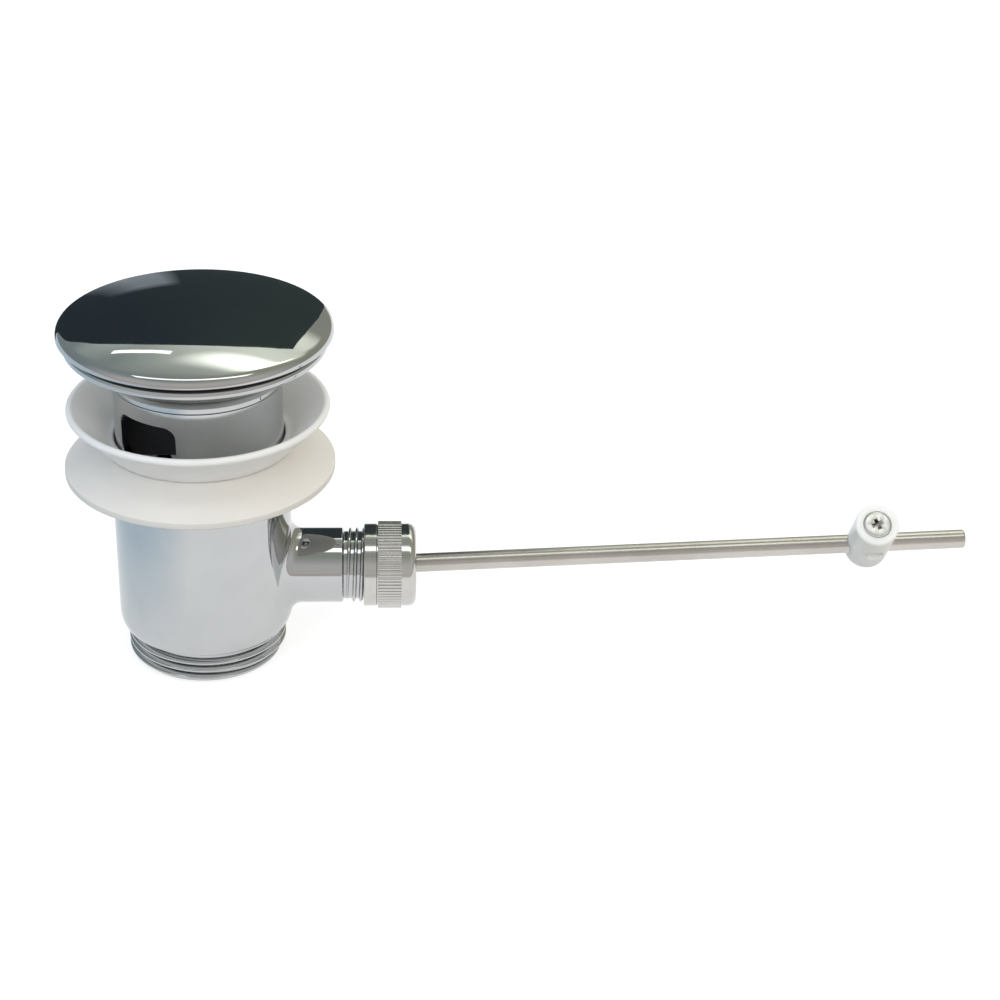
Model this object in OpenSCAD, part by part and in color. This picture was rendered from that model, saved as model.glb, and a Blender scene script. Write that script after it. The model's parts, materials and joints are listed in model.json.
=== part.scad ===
// Pop-up basin waste with side lever: plug, flange, overflow tube, seals, body, ball joint and clip.
// Millimetres. Origin on the drain axis at the outlet end, +Z up, +X along the side branch.

/* [Outlet and barrel] */
// Outside diameter of the outlet thread, G 1 1/4
outlet_d = 41.91; // [40:0.01:44]
// Height of the outlet thread
outlet_len = 9.8; // [8:0.1:14]
// Wall of the outlet at the thread crest
outlet_wall = 3; // [2.2:0.1:3.6]
// Height of the barrel top above the outlet end
barrel_top = 54.4; // [50:0.1:62]
// Wall of the barrel round the threaded socket
socket_wall = 2.05; // [1.6:0.05:3]
// Wall of the barrel below the socket
barrel_wall = 3; // [2.8:0.1:3.6]
// Radius of the lower edge of the barrel
shoulder_r = 8; // [6:0.1:10]
// Height of the lower edge of the barrel
shoulder_h = 3.5; // [2:0.1:4]
// Diameter of the seat collar under the washer
collar_d = 55; // [50:0.5:60]
// Thickness of the seat collar
collar_t = 2.2; // [1.6:0.1:3]

/* [Waterway and tube] */
// Inside diameter of the flange and the tube
waterway_d = 38; // [36:0.1:41]
// Wall of the overflow tube
tube_wall = 2.5; // [2:0.1:3]
// Height of the tube above the barrel
tube_h = 25; // [23:0.1:32]
// Depth of the step from the tube to its thread
spigot_step = 0.65; // [0.4:0.05:0.8]
// Length of the tube thread in the barrel
spigot_len = 11; // [8:0.1:14]
// Radial play in the thread of the tube
thread_fit = 0.1; // [0.05:0.01:0.2]
// Width of an overflow window round the tube
window_w = 17.7; // [12:0.1:20]
// Height of an overflow window
window_h = 11.5; // [8:0.1:12]
// Corner radius of an overflow window
window_r = 3; // [1:0.1:3.5]
// Tube left above an overflow window
window_top = 4.4; // [4:0.1:6]
// Turn of the windows from the branch
window_turn = -126; // [-160:1:-100]

/* [Flange] */
// Outside diameter of the flange
flange_d = 66.4; // [63:0.1:70]
// Thickness of the flange lip
flange_t = 2.8; // [2.2:0.1:3.2]
// Height of the lip above the tube top
neck_h = 9; // [8.8:0.1:11]
// Width of the lip round the dish
lip_w = 2.6; // [2:0.1:3.6]
// Depth of the dish below the lip
dish_h = 5; // [4.5:0.1:5.4]
// Slope of the underside of the flange
under_slope = 31; // [26:0.5:33]
// Radius between the neck and the flange
neck_r = 3; // [2:0.1:3.2]
// Width from the waterway to the dish
throat_w = 3.4; // [3:0.1:4.5]
// Length of the flange spigot in the tube
flange_spigot = 3; // [2:0.1:3.4]
// Wall of the flange spigot
flange_spigot_wall = 1.2; // [1:0.05:1.4]

/* [Plug] */
// Diameter of the plug cap
cap_d = 69.4; // [66:0.1:74]
// Height of the cap
cap_h = 9.2; // [8:0.1:11]
// Wall of the cap
cap_wall = 1.2; // [0.8:0.05:1.6]
// Radius of the pressed edge of the cap
cap_edge_r = 2.6; // [2:0.1:3.4]
// Upright side of the cap below its edge
cap_side = 0.3; // [0.2:0.05:1]
// Gap between the flange lip and the closed plug
cap_gap = 0.8; // [0.6:0.05:1.6]
// Thickness of the plate in the cap
insert_t = 2; // [1.6:0.05:2.6]
// Thickness of the edge of the plate under the rim
insert_edge = 0.4; // [0.3:0.05:0.6]
// Width of the sloped edge of the plate
insert_slope = 3; // [2:0.1:5]
// Diameter of the threaded boss of the plate
boss_d = 13; // [11:0.1:15]
// Height of the boss above the plate
boss_h = 4; // [3:0.1:5]
// End wall of the boss
boss_end = 1; // [0.8:0.1:1.4]
// Section diameter of the plug seal
seal_d = 3.4; // [2.8:0.05:3.8]
// Gap between the seal and the dish when closed
seal_gap = 0.3; // [0.25:0.05:0.5]
// Thickness of a guide wing
wing_t = 2.4; // [1.6:0.1:3]
// Play of the guide wings in the waterway
wing_play = 0.4; // [0.3:0.05:0.6]
// Length of the guide wings
wing_len = 30; // [24:0.5:34]
// Radius of the lower corner of a guide wing
wing_r = 3; // [1:0.1:6]
// Diameter of the stem
stem_d = 9; // [8:0.1:11]
// Diameter of the height screw
height_screw_d = 6; // [5:0.1:6.5]
// Height screw shown below the stem
height_screw_out = 14; // [12:0.5:20]
// Height screw held in the stem
height_screw_in = 12; // [8:0.5:16]
// Diameter of the foot of the height screw
foot_d = 9; // [7:0.1:11]
// Height of the foot
foot_h = 4; // [3:0.1:5]
// Gap between the foot and the rod
foot_gap = 0.35; // [0.3:0.05:0.6]
// Lock nut across flats
lock_nut_af = 10; // [9:0.1:12]
// Thickness of the lock nut
lock_nut_t = 3.2; // [2.5:0.1:4]

/* [Seals] */
// Play of both white seals round the tube
seal_play = 0.4; // [0.3:0.05:0.8]
// Outside diameter of the lower washer
washer_d = 69.4; // [66:0.1:74]
// Thickness of the washer edge
washer_edge = 1.8; // [1.4:0.1:3]
// Height of the lower washer at its inner land
washer_h = 7.5; // [6:0.1:9]
// Width of the inner land
land_w = 2.6; // [2:0.1:3.4]
// Rim diameter of the cup seal
cup_d = 67; // [62:0.1:70]
// Height of the cup seal
cup_h = 11; // [9:0.1:12]
// Wall of the cup seal
cup_wall = 1.9; // [1.5:0.05:2.4]
// Turn of the rounded rim of the cup seal
cup_lip = 35; // [25:1:45]

/* [Branch and ball joint] */
// Height of the branch axis
branch_z = 24.2; // [23:0.1:26]
// Distance from the drain axis to the ball
ball_x = 46.4; // [44:0.1:52]
// Diameter of the pivot ball
ball_d = 13; // [12:0.1:14]
// Section of the ring round the ball
ring_d = 1.7; // [1.5:0.05:2.2]
// Wall of the branch round the ball seats
branch_wall = 1.8; // [1.5:0.05:2.4]
// Radius of the flare at the branch root
flare_r = 12; // [8:0.1:14]
// Length of the flare in front of the barrel
flare_len = 5; // [3:0.1:6]
// Turn of the flare from the branch to its root
flare_turn = 27; // [20:1:32]
// Length of the branch root in the barrel wall
root_len = 8; // [6:0.1:9]
// Branch beyond the ball centre
branch_end = 2.6; // [2:0.1:3.2]
// Seat depth on the body side of the ball
inner_seat_len = 7; // [6:0.1:8]
// Seat depth on the nut side of the ball
outer_seat_len = 6.2; // [5.5:0.1:7]
// Running play of the ball and of its seats
ball_play = 0.06; // [0.04:0.01:0.1]
// Nut behind the ball centre
nut_back = 4.4; // [4:0.1:5]
// Thickness of the end wall of the nut
nut_end = 3.2; // [2.6:0.1:4]
// Wall of the nut over the thread
nut_wall = 0.95; // [0.8:0.05:1.6]
// Height of the knurl ridges
knurl_h = 0.6; // [0.4:0.05:0.8]
// Number of knurl ridges
knurl_n = 72; // [48:1:84]
// Plain collar of the nut behind the knurl
knurl_at = 3.8; // [3:0.1:4.4]
// Length of the knurl
knurl_len = 6.2; // [5:0.1:7]

/* [Lever rod] */
// Diameter of the rod
rod_d = 5; // [4.6:0.05:5.4]
// Length of the rod from end to end
rod_len = 208.7; // [190:0.1:230]
// Rod past the drain axis
rod_past = 4.5; // [4:0.1:7]
// Upward tilt of the rod with the plug closed
rest_tilt = 2.86; // [1:0.01:4]
// Lever travel from closed to open
travel = 11; // [8:0.1:11.4]

/* [Clip] */
// Distance from the outer end of the rod to the clip
clip_back = 26.2; // [15:0.1:60]
// Turn of the clip screw above the horizontal
clip_turn = 50; // [20:1:80]
// Diameter of the clip
clip_d = 11.6; // [10.5:0.1:13]
// Clip beyond the rod axis on the closed end
clip_tail = 5.4; // [5:0.1:7]
// Clip from the rod axis to the screw face
clip_head = 14.2; // [13:0.1:17]
// Radial play of the rods in the clip
clip_play = 0.1; // [0.05:0.01:0.1]
// Diameter of the screw head
screw_head_d = 7.2; // [6:0.1:8]
// Thickness of the screw head
screw_head_t = 2; // [1.6:0.1:2.4]
// Diameter of the screw shank
screw_d = 4; // [3.5:0.1:4.5]

/* [Edges] */
// Chamfer of the cut ends of threads and of the rod
end_chamfer = 0.6; // [0.4:0.05:0.8]
// Depth of the groove between the collar and the knurl of the nut
nut_groove = 0.25; // [0.15:0.05:0.4]
// Clearance left at the end of a threaded piece
end_play = 0.2; // [0.1:0.05:0.4]

/* [Hidden] */
$fn = 96;

chrome = [0.80, 0.82, 0.84];
nickel = [0.76, 0.74, 0.70];
steel = [0.72, 0.72, 0.71];
white = [0.93, 0.92, 0.89];
nylon = [0.90, 0.90, 0.86];
rubber = [0.06, 0.06, 0.06];
grey = [0.16, 0.16, 0.17];

bore_r = waterway_d / 2;
tube_r = bore_r + tube_wall;
spigot_r = tube_r - spigot_step;
socket_r = spigot_r + thread_fit;
barrel_r = socket_r + socket_wall;
outlet_r = outlet_d / 2;
barrel_bore_r = min(barrel_r - barrel_wall, socket_r - 0.5);
socket_floor = barrel_top - spigot_len - thread_fit;

seam_z = barrel_top + tube_h;
lip_z = seam_z + neck_h;
lip_top = lip_z + flange_t;
flange_r = flange_d / 2;
dish_r = flange_r - lip_w;
throat_r = bore_r + throat_w;
dish_z = lip_top - dish_h;
dish_slope = atan2(dish_h, dish_r - throat_r);
flange_spigot_r = bore_r + flange_spigot_wall;
lip_r = flange_r - flange_t / 2;
neck_z = lip_z - (lip_r - tube_r - neck_r) * tan(under_slope) - neck_r / cos(under_slope);

seal_r = throat_r + seal_d / 2 - 0.4;
seal_z = dish_z + (seal_r - throat_r) * tan(dish_slope) + (seal_d / 2 + seal_gap) / cos(dish_slope);
groove_r = seal_r - seal_d / 2;
wing_x = bore_r - wing_play;
head_z = seal_z + seal_d / 2 + 0.05;
tail_z = seal_z - seal_d / 2 - 0.05;

insert_z = lip_top + cap_gap;
rim_z = insert_z + insert_edge + 0.05;
cap_r = cap_d / 2;
edge_x = cap_r - cap_edge_r;
edge_z = rim_z + cap_side;
rise = cap_h - cap_side;
crown_r = (edge_x * edge_x + rise * rise - cap_edge_r * cap_edge_r) / (2 * (rise - cap_edge_r));
crown_z = rim_z + cap_h;
rim_a = atan2(edge_z - crown_z + crown_r, edge_x);

ball_r = ball_d / 2;
pocket_r = ball_r + ring_d;
branch_r = pocket_r + branch_wall;
flare_x = barrel_r + flare_len;
rod_r = rod_d / 2;
rod_in = ball_x + rod_past;
rod_out = rod_len - rod_in;
clip_at = rod_out - clip_back;
tilt_max = max(rest_tilt, travel - rest_tilt);
branch_bore_r = min((ball_x - bore_r + 2) * tan(tilt_max) + rod_r / cos(tilt_max) + 0.4, pocket_r - 0.8);
seat_hole_r = inner_seat_len * tan(tilt_max) + rod_r / cos(tilt_max) + 0.35;
nut_bore_r = branch_r + thread_fit;
knurl_x = ball_x - nut_back + knurl_at;
nut_r = nut_bore_r + nut_wall;
nut_inner = ball_x + outer_seat_len + 0.1;
nut_front = nut_inner + nut_end;
mouth_r = (nut_front - ball_x) * tan(tilt_max) + rod_r / cos(tilt_max) + 0.4;

rod_top = branch_z - ball_x * tan(rest_tilt) + rod_r / cos(rest_tilt);
foot_z = rod_top + foot_gap;
stem_z = foot_z + height_screw_out;
screw_top = stem_z + height_screw_in;
boss_z = insert_z + insert_t + boss_h;
insert_r = cap_r - 0.6;
insert_step_r = cap_r - cap_wall - end_play;

washer_z = barrel_top;
cup_z = barrel_top + washer_h;
ring_r = tube_r + seal_play;
land_r = ring_r + land_w;

rod_hole_r = rod_r + clip_play;
lift_at = 2 * rod_r + clip_play;

function arc(c, r, a, b, n = 6) = [for (i = [0:n]) c + r * [cos(a + (b - a) * i / n), sin(a + (b - a) * i / n)]];

// Places things on the lever: local X along the rod from the ball, tilted as at rest
module on_lever() {
    translate([ball_x, 0, branch_z]) rotate([0, -rest_tilt, 0]) children();
}

// Places things on the clip: local Z along the clip screw from the rod axis
module on_clip() {
    on_lever() translate([clip_at, 0, 0]) rotate([90 - clip_turn, 0, 0]) children();
}

// Turns an outline of distance and radius about the branch axis
module about_branch() {
    translate([0, 0, branch_z]) rotate([0, 90, 0]) rotate_extrude() children();
}

module window_shape() {
    w = window_w / 2 - window_r;
    h = window_h / 2 - window_r;
    translate([0, seam_z - window_top - window_h / 2]) union() {
        square([window_w, 2 * h], center = true);
        square([2 * w, window_h], center = true);
        for (x = [-w, w]) for (y = [-h, h]) translate([x, y]) circle(window_r);
    }
}

module waste_body() color(chrome) difference() {
    union() {
        rotate_extrude() polygon(concat(
            [[0, 0], [outlet_r, 0], [outlet_r, outlet_len]],
            arc([barrel_r - shoulder_r, outlet_len + shoulder_h], shoulder_r, -asin(shoulder_h / shoulder_r), 0),
            [[barrel_r, barrel_top - collar_t - 2],
             [barrel_r + 2, barrel_top - collar_t],
             [collar_d / 2 - 0.3, barrel_top - collar_t],
             [collar_d / 2, barrel_top - collar_t + 0.3],
             [collar_d / 2, barrel_top], [0, barrel_top]]));
        about_branch() polygon(concat(
            [[0, 0], [branch_r + flare_r * (1 - cos(flare_turn)) + root_len * sin(flare_turn),
                      flare_x - flare_r * sin(flare_turn) - root_len * cos(flare_turn)]],
            arc([branch_r + flare_r, flare_x], flare_r, 180 + flare_turn, 180),
            [[branch_r, ball_x + branch_end - end_chamfer],
             [branch_r - end_chamfer, ball_x + branch_end],
             [0, ball_x + branch_end]]));
    }
    rotate_extrude() polygon([
        [0, -1], [outlet_r - outlet_wall, -1], [outlet_r - outlet_wall, outlet_len + 2],
        [barrel_bore_r, outlet_len + 6], [barrel_bore_r, socket_floor],
        [socket_r, socket_floor], [socket_r, barrel_top + 1], [0, barrel_top + 1]]);
    about_branch() polygon([
        [0, 0], [branch_bore_r, 0], [branch_bore_r, ball_x - inner_seat_len],
        [pocket_r, ball_x - inner_seat_len], [pocket_r, ball_x + branch_end + 1],
        [0, ball_x + branch_end + 1]]);
}

module overflow_tube() color(chrome) difference() {
    rotate_extrude() polygon([
        [bore_r, barrel_top - spigot_len], [spigot_r - end_chamfer, barrel_top - spigot_len],
        [spigot_r, barrel_top - spigot_len + end_chamfer], [spigot_r, barrel_top],
        [tube_r, barrel_top], [tube_r, seam_z - 0.35], [tube_r - 0.35, seam_z],
        [flange_spigot_r, seam_z], [flange_spigot_r, seam_z - flange_spigot],
        [bore_r, seam_z - flange_spigot]]);
    for (side = [0, 180]) rotate([0, 0, window_turn + side - 90])
        translate([0, tube_r + 2, 0]) rotate([90, 0, 0])
            linear_extrude(tube_wall + 6) window_shape();
}

module basin_flange() color(chrome) rotate_extrude() polygon(concat(
    [[bore_r, seam_z - flange_spigot], [flange_spigot_r, seam_z - flange_spigot],
     [flange_spigot_r, seam_z], [tube_r - 0.35, seam_z], [tube_r, seam_z + 0.35]],
    arc([tube_r + neck_r, neck_z], neck_r, 180, 90 + under_slope),
    arc([lip_r, lip_z + flange_t / 2], flange_t / 2, -90, 90, 10),
    arc([dish_r + 0.6, lip_top - 0.6], 0.6, 90, 90 + dish_slope, 3),
    [[throat_r, dish_z]],
    arc([bore_r + 2, dish_z - 2.2], 2, 125, 180, 4)));

module flange_seal() color(white) rotate_extrude() polygon(concat(
    [[ring_r, cup_z], [land_r - 0.4, cup_z], [land_r, cup_z + 0.4]],
    arc([cup_d / 2 - cup_wall / 2, cup_z + cup_h - cup_wall / 2], cup_wall / 2, -cup_lip, 180 - cup_lip, 8),
    [[land_r - 0.4, cup_z + cup_wall + 0.9], [land_r - 1.2, cup_z + cup_wall + 0.3],
     [ring_r, cup_z + cup_wall + 0.3]]));

module lower_washer() color(white) rotate_extrude() polygon(concat(
    [[ring_r, washer_z], [washer_d / 2 - 0.4, washer_z]],
    arc([washer_d / 2 - 0.4, washer_z + 0.4], 0.4, -90, 0, 3),
    arc([washer_d / 2 - 0.6, washer_z + washer_edge - 0.6], 0.6, 0, 60, 3),
    [[land_r + 0.5, cup_z - 0.2], [land_r, cup_z], [ring_r, cup_z]]));

// Seat ring with a round hollow for the ball, from one distance to another along the branch
module ball_seat(from, to, hole) difference() {
    translate([from, 0, branch_z]) rotate([0, 90, 0]) cylinder(h = to - from, r = pocket_r - ball_play);
    translate([from - 1, 0, branch_z]) rotate([0, 90, 0]) cylinder(h = to - from + 2, r = hole);
    translate([ball_x, 0, branch_z]) sphere(ball_r + ball_play);
}

module inner_ball_seat() color(white) ball_seat(
    ball_x - inner_seat_len + 0.02, ball_x - ring_d / 2 - 0.1, seat_hole_r);

module outer_ball_seat() color(white) ball_seat(
    ball_x + ring_d / 2 + 0.1, ball_x + outer_seat_len, seat_hole_r);

module ball_o_ring() color(rubber) about_branch()
    translate([ball_r + ring_d / 2, ball_x]) circle(ring_d / 2 - ball_play);

module gland_nut() color(nickel) difference() {
    union() {
        about_branch() polygon(concat(
            [[0, ball_x - nut_back], [nut_r - 0.5, ball_x - nut_back], [nut_r, ball_x - nut_back + 0.5],
             [nut_r, knurl_x - 0.4], [nut_r - nut_groove, knurl_x - 0.3], [nut_r - nut_groove, knurl_x]],
            [[nut_r, knurl_x]],
            arc([nut_r - 2, nut_front - 2], 2, 0, 90),
            [[0, nut_front]]));
        translate([knurl_x, 0, branch_z]) rotate([0, 90, 0])
            linear_extrude(knurl_len) polygon([for (i = [0:2 * knurl_n - 1])
                (nut_r + (i % 2 == 0 ? 0.05 : knurl_h)) * [cos(180 * i / knurl_n), sin(180 * i / knurl_n)]]);
    }
    about_branch() polygon([
        [0, ball_x - nut_back - 1], [nut_bore_r, ball_x - nut_back - 1],
        [nut_bore_r, nut_inner - 1], [pocket_r + 0.3, nut_inner], [0, nut_inner]]);
    translate([nut_inner - 1, 0, branch_z]) rotate([0, 90, 0]) cylinder(h = nut_end + 2, r = mouth_r);
}

module ball_rod() color(steel) on_lever() rotate([0, 90, 0]) rotate_extrude() polygon([
    [0, -rod_in], [rod_r - end_chamfer, -rod_in], [rod_r, -rod_in + end_chamfer],
    [rod_r, rod_out - end_chamfer], [rod_r - end_chamfer, rod_out], [0, rod_out]]);

module pivot_ball() color(white) on_lever() difference() {
    sphere(ball_r);
    rotate([0, 90, 0]) translate([0, 0, -ball_d]) cylinder(h = 2 * ball_d, r = rod_r + 0.01);
}

module rod_clip() color(nylon) on_clip() difference() {
    rotate_extrude() polygon(concat(
        [[0, -clip_tail]],
        arc([clip_d / 2 - 2.2, -clip_tail + 2.2], 2.2, -90, 0),
        arc([clip_d / 2 - 0.6, clip_head - 0.6], 0.6, 0, 90, 4),
        [[0, clip_head]]));
    rotate([0, 90, 0]) translate([0, 0, -clip_d]) cylinder(h = 2 * clip_d, r = rod_hole_r);
    translate([0, 0, lift_at]) rotate([90, 0, 0]) translate([0, 0, -clip_d]) cylinder(h = 2 * clip_d, r = rod_hole_r);
    translate([0, 0, lift_at]) cylinder(h = clip_head, r = screw_d / 2 + 0.1);
    translate([0, 0, clip_head - screw_head_t]) cylinder(h = screw_head_t + 1, r = screw_head_d / 2 + 0.15);
}

module clip_screw() color(steel) on_clip() difference() {
    rotate_extrude() polygon(concat(
        [[0, lift_at + rod_hole_r + 0.3], [screw_d / 2 - 0.5, lift_at + rod_hole_r + 0.3],
         [screw_d / 2, lift_at + rod_hole_r + 0.8], [screw_d / 2, clip_head - screw_head_t + 0.1],
         [screw_head_d / 2, clip_head - screw_head_t + 0.1]],
        arc([screw_head_d / 2 - 0.7, clip_head - 0.3], 0.7, 0, 90, 4),
        [[0, clip_head + 0.5]]));
    for (a = [0, 90]) rotate([0, 0, a + 20]) translate([0, 0, clip_head])
        cube([screw_head_d * 0.6, 0.9, 2.4], center = true);
}

module plug_cap() color(chrome) rotate_extrude() polygon(concat(
    arc([0, crown_z - crown_r], crown_r, 90, rim_a, 24),
    arc([edge_x, edge_z], cap_edge_r, rim_a, 0, 10),
    [[cap_r, rim_z + 0.15], [cap_r - 0.15, rim_z], [cap_r - cap_wall, rim_z]],
    arc([edge_x, edge_z], cap_edge_r - cap_wall, 0, rim_a, 8),
    arc([0, crown_z - crown_r], crown_r - cap_wall, rim_a, 90, 24)));

module cap_insert() color(grey) difference() {
    rotate_extrude() polygon([
        [0, insert_z], [insert_r, insert_z], [insert_r, insert_z + insert_edge],
        [insert_step_r, insert_z + insert_edge], [insert_step_r, insert_z + insert_edge + 0.5],
        [insert_step_r - insert_slope, insert_z + insert_t], [boss_d / 2, insert_z + insert_t],
        [boss_d / 2, boss_z], [0, boss_z]]);
    translate([0, 0, insert_z - 1]) cylinder(h = boss_z - boss_end - insert_z + 1, r = stem_d / 2 + 0.05);
}

module plug_stem() color(grey) difference() {
    union() {
        rotate_extrude() polygon([
            [0, stem_z], [stem_d / 2, stem_z], [stem_d / 2, tail_z - 2],
            [groove_r - 2, tail_z - 0.8], [groove_r + 0.5, tail_z - 0.8], [groove_r + 0.5, tail_z],
            [groove_r, tail_z], [groove_r, head_z], [seal_r + 0.9, head_z], [seal_r + 0.9, insert_z],
            [stem_d / 2, insert_z], [stem_d / 2, boss_z - boss_end - end_play], [0, boss_z - boss_end - end_play]]);
        for (a = [0, 90, 180, 270]) rotate([90, 0, a]) translate([0, 0, -wing_t / 2])
            linear_extrude(wing_t) polygon(concat(
                [[0, tail_z - wing_len]],
                arc([wing_x - wing_r, tail_z - wing_len + wing_r], wing_r, -90, 0),
                [[wing_x, tail_z - 1.5], [0, tail_z - 1.5]]));
    }
    translate([0, 0, stem_z - 1]) cylinder(h = height_screw_in + end_play + 1, r = height_screw_d / 2 + 0.05);
}

module plug_seal() color(rubber) rotate_extrude() translate([seal_r + 0.02, seal_z]) circle(seal_d / 2);

module height_screw() color(steel) intersection() {
    rotate_extrude() polygon([
        [0, foot_z], [foot_d / 2, foot_z], [foot_d / 2, foot_z + foot_h - 0.5], [foot_d / 2 - 0.5, foot_z + foot_h],
        [height_screw_d / 2, foot_z + foot_h], [height_screw_d / 2, screw_top - end_chamfer],
        [height_screw_d / 2 - end_chamfer, screw_top], [0, screw_top]]);
    union() {
        translate([0, 0, foot_z + foot_d]) sphere(foot_d);
        translate([0, 0, foot_z + foot_d]) cylinder(h = screw_top - foot_z, r = foot_d);
    }
}

module lock_nut() color(steel) translate([0, 0, stem_z - lock_nut_t - 0.05]) difference() {
    cylinder(h = lock_nut_t, d = lock_nut_af / cos(30), $fn = 6);
    translate([0, 0, -1]) cylinder(h = lock_nut_t + 2, r = height_screw_d / 2 + 0.05);
}

waste_body();
overflow_tube();
basin_flange();
flange_seal();
lower_washer();
inner_ball_seat();
ball_o_ring();
outer_ball_seat();
gland_nut();
ball_rod();
pivot_ball();
rod_clip();
clip_screw();
plug_cap();
cap_insert();
plug_stem();
plug_seal();
height_screw();
lock_nut();
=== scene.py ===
"""Dresses a pop-up basin waste: turned chrome, moulded seals, a ball-joint lever and its clip."""
import json
import math
from functools import cache
from types import SimpleNamespace

import bmesh
import bpy
from bpy.props import FloatProperty, FloatVectorProperty, PointerProperty
from mathutils import Matrix, Vector


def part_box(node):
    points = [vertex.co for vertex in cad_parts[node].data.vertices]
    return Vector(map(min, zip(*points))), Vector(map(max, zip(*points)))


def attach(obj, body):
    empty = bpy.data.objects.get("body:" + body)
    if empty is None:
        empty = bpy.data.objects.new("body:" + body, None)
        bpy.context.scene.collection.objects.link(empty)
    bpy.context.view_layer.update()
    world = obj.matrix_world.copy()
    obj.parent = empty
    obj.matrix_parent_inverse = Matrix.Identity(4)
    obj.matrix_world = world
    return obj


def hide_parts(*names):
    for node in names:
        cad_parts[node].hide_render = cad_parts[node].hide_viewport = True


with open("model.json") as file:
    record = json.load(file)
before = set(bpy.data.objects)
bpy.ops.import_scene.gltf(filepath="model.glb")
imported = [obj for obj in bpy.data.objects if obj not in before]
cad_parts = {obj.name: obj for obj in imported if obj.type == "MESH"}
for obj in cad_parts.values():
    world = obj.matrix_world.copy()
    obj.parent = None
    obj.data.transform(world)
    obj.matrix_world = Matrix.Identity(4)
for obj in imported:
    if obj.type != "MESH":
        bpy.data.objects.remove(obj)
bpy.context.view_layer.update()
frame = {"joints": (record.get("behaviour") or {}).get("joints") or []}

bl_info = {
    "name": "Pop-up basin waste",
    "version": (1, 0, 0),
    "blender": (4, 5, 0),
    "location": "3D View > Sidebar > Waste",
    "description": "Builds the visible pieces of a pop-up basin waste on its packed frame",
    "category": "Object",
}

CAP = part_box("plug_cap")
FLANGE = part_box("basin_flange")
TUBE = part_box("overflow_tube")
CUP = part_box("flange_seal")
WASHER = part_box("lower_washer")
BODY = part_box("waste_body")
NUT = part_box("gland_nut")
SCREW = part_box("height_screw")
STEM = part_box("plug_stem")
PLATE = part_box("cap_insert")
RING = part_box("plug_seal")


def length(size, name, about):
    """A length property. The size is in metres."""
    return FloatProperty(name=name, description=about, default=size, unit="LENGTH", precision=5)


def tint(colour, name, about):
    """A colour property."""
    return FloatVectorProperty(name=name, description=about, default=colour, subtype="COLOR",
                               size=3, min=0, max=1)


class WasteSizes(bpy.types.PropertyGroup):
    """Sizes of the pieces, in metres."""
    cap_radius: length(CAP[1].x, "Cap radius", "Outside radius of the plug cap")
    cap_rim: length(CAP[0].z, "Cap rim", "Height of the lower edge of the cap")
    cap_top: length(CAP[1].z, "Cap top", "Height of the crown of the cap")
    cap_edge: length(0.0026, "Cap edge", "Radius of the pressed edge of the cap")
    cap_side: length(0.0003, "Cap side", "Upright side of the cap below its edge")
    cap_wall: length(0.0012, "Cap wall", "Thickness of the cap")
    flange_radius: length(FLANGE[1].x, "Flange radius", "Outside radius of the basin flange")
    flange_top: length(FLANGE[1].z, "Flange top", "Height of the flange lip")
    flange_lip: length(0.0028, "Flange lip", "Thickness of the flange lip")
    seam: length(TUBE[1].z, "Seam", "Height of the joint between the flange and the tube")
    tube_radius: length(TUBE[1].y, "Tube radius", "Outside radius of the overflow tube")
    bore: length(0.019, "Waterway", "Inside radius of the flange and the tube")
    window_width: length(0.0177, "Window width", "Width of an overflow window")
    window_height: length(0.0115, "Window height", "Height of an overflow window")
    window_corner: length(0.003, "Window corner", "Corner radius of an overflow window")
    window_drop: length(0.0044, "Window drop", "Tube left above an overflow window")
    barrel: length(0.023, "Barrel radius", "Outside radius of the barrel")
    barrel_bore: length(0.020, "Barrel bore", "Inside radius of the barrel")
    collar: length(BODY[1].y, "Collar radius", "Radius of the seat collar under the washer")
    barrel_top: length(BODY[1].z, "Barrel top", "Height of the top of the barrel")
    thread_top: length(0.0098, "Thread top", "Height of the outlet thread")
    thread_crest: length(0.020955, "Thread crest", "Crest radius of the outlet thread")
    thread_pitch: length(0.002309, "Thread pitch", "Pitch of the outlet thread")
    thread_depth: length(0.001479, "Thread depth", "Depth of the outlet thread")
    branch_height: length(0.0242, "Branch height", "Height of the branch axis")
    branch: length(0.010, "Branch radius", "Outside radius of the branch")
    branch_blend: length(0.0036, "Branch blend", "Radius between the branch and the barrel")
    branch_end: length(BODY[1].x, "Branch end", "Distance from the drain axis to the branch end")
    ball_place: length(0.0464, "Ball place", "Distance from the drain axis to the pivot ball")
    ball: length(0.0065, "Ball radius", "Radius of the pivot ball")
    pocket: length(0.0082, "Ball pocket", "Radius of the pocket for the ball seats")
    nut_back: length(NUT[0].x, "Nut back", "Distance from the drain axis to the back of the nut")
    nut_front: length(NUT[1].x, "Nut front", "Distance from the drain axis to the nut's front")
    nut: length(0.01105, "Nut radius", "Radius of the gland nut below its knurl")
    nut_mouth: length(0.00428, "Nut mouth", "Radius of the hole for the rod")
    rod: length(0.0025, "Rod radius", "Radius of the lever rod")
    rod_inner: length(-0.0509, "Rod inner end", "Inner end of the rod, from the ball along the rod")
    rod_outer: length(0.1578, "Rod outer end", "Outer end of the rod, from the ball along the rod")
    clip_place: length(0.1316, "Clip place", "Distance from the ball to the clip along the rod")
    clip: length(0.0058, "Clip radius", "Radius of the clip")
    clip_tail: length(0.0054, "Clip tail", "Clip beyond the rod on its closed end")
    clip_head: length(0.0142, "Clip head", "Clip from the rod to its screw face")
    lift_hole: length(0.0051, "Lift rod hole", "Distance from the rod to the hole for the lift rod")
    clip_hole: length(0.00253, "Clip holes", "Radius of the clip's two holes, which just miss each other")
    screw_head: length(0.0036, "Screw head", "Radius of the head of the clip screw")
    screw: length(0.002, "Screw radius", "Radius of the shank of the clip screw")


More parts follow.
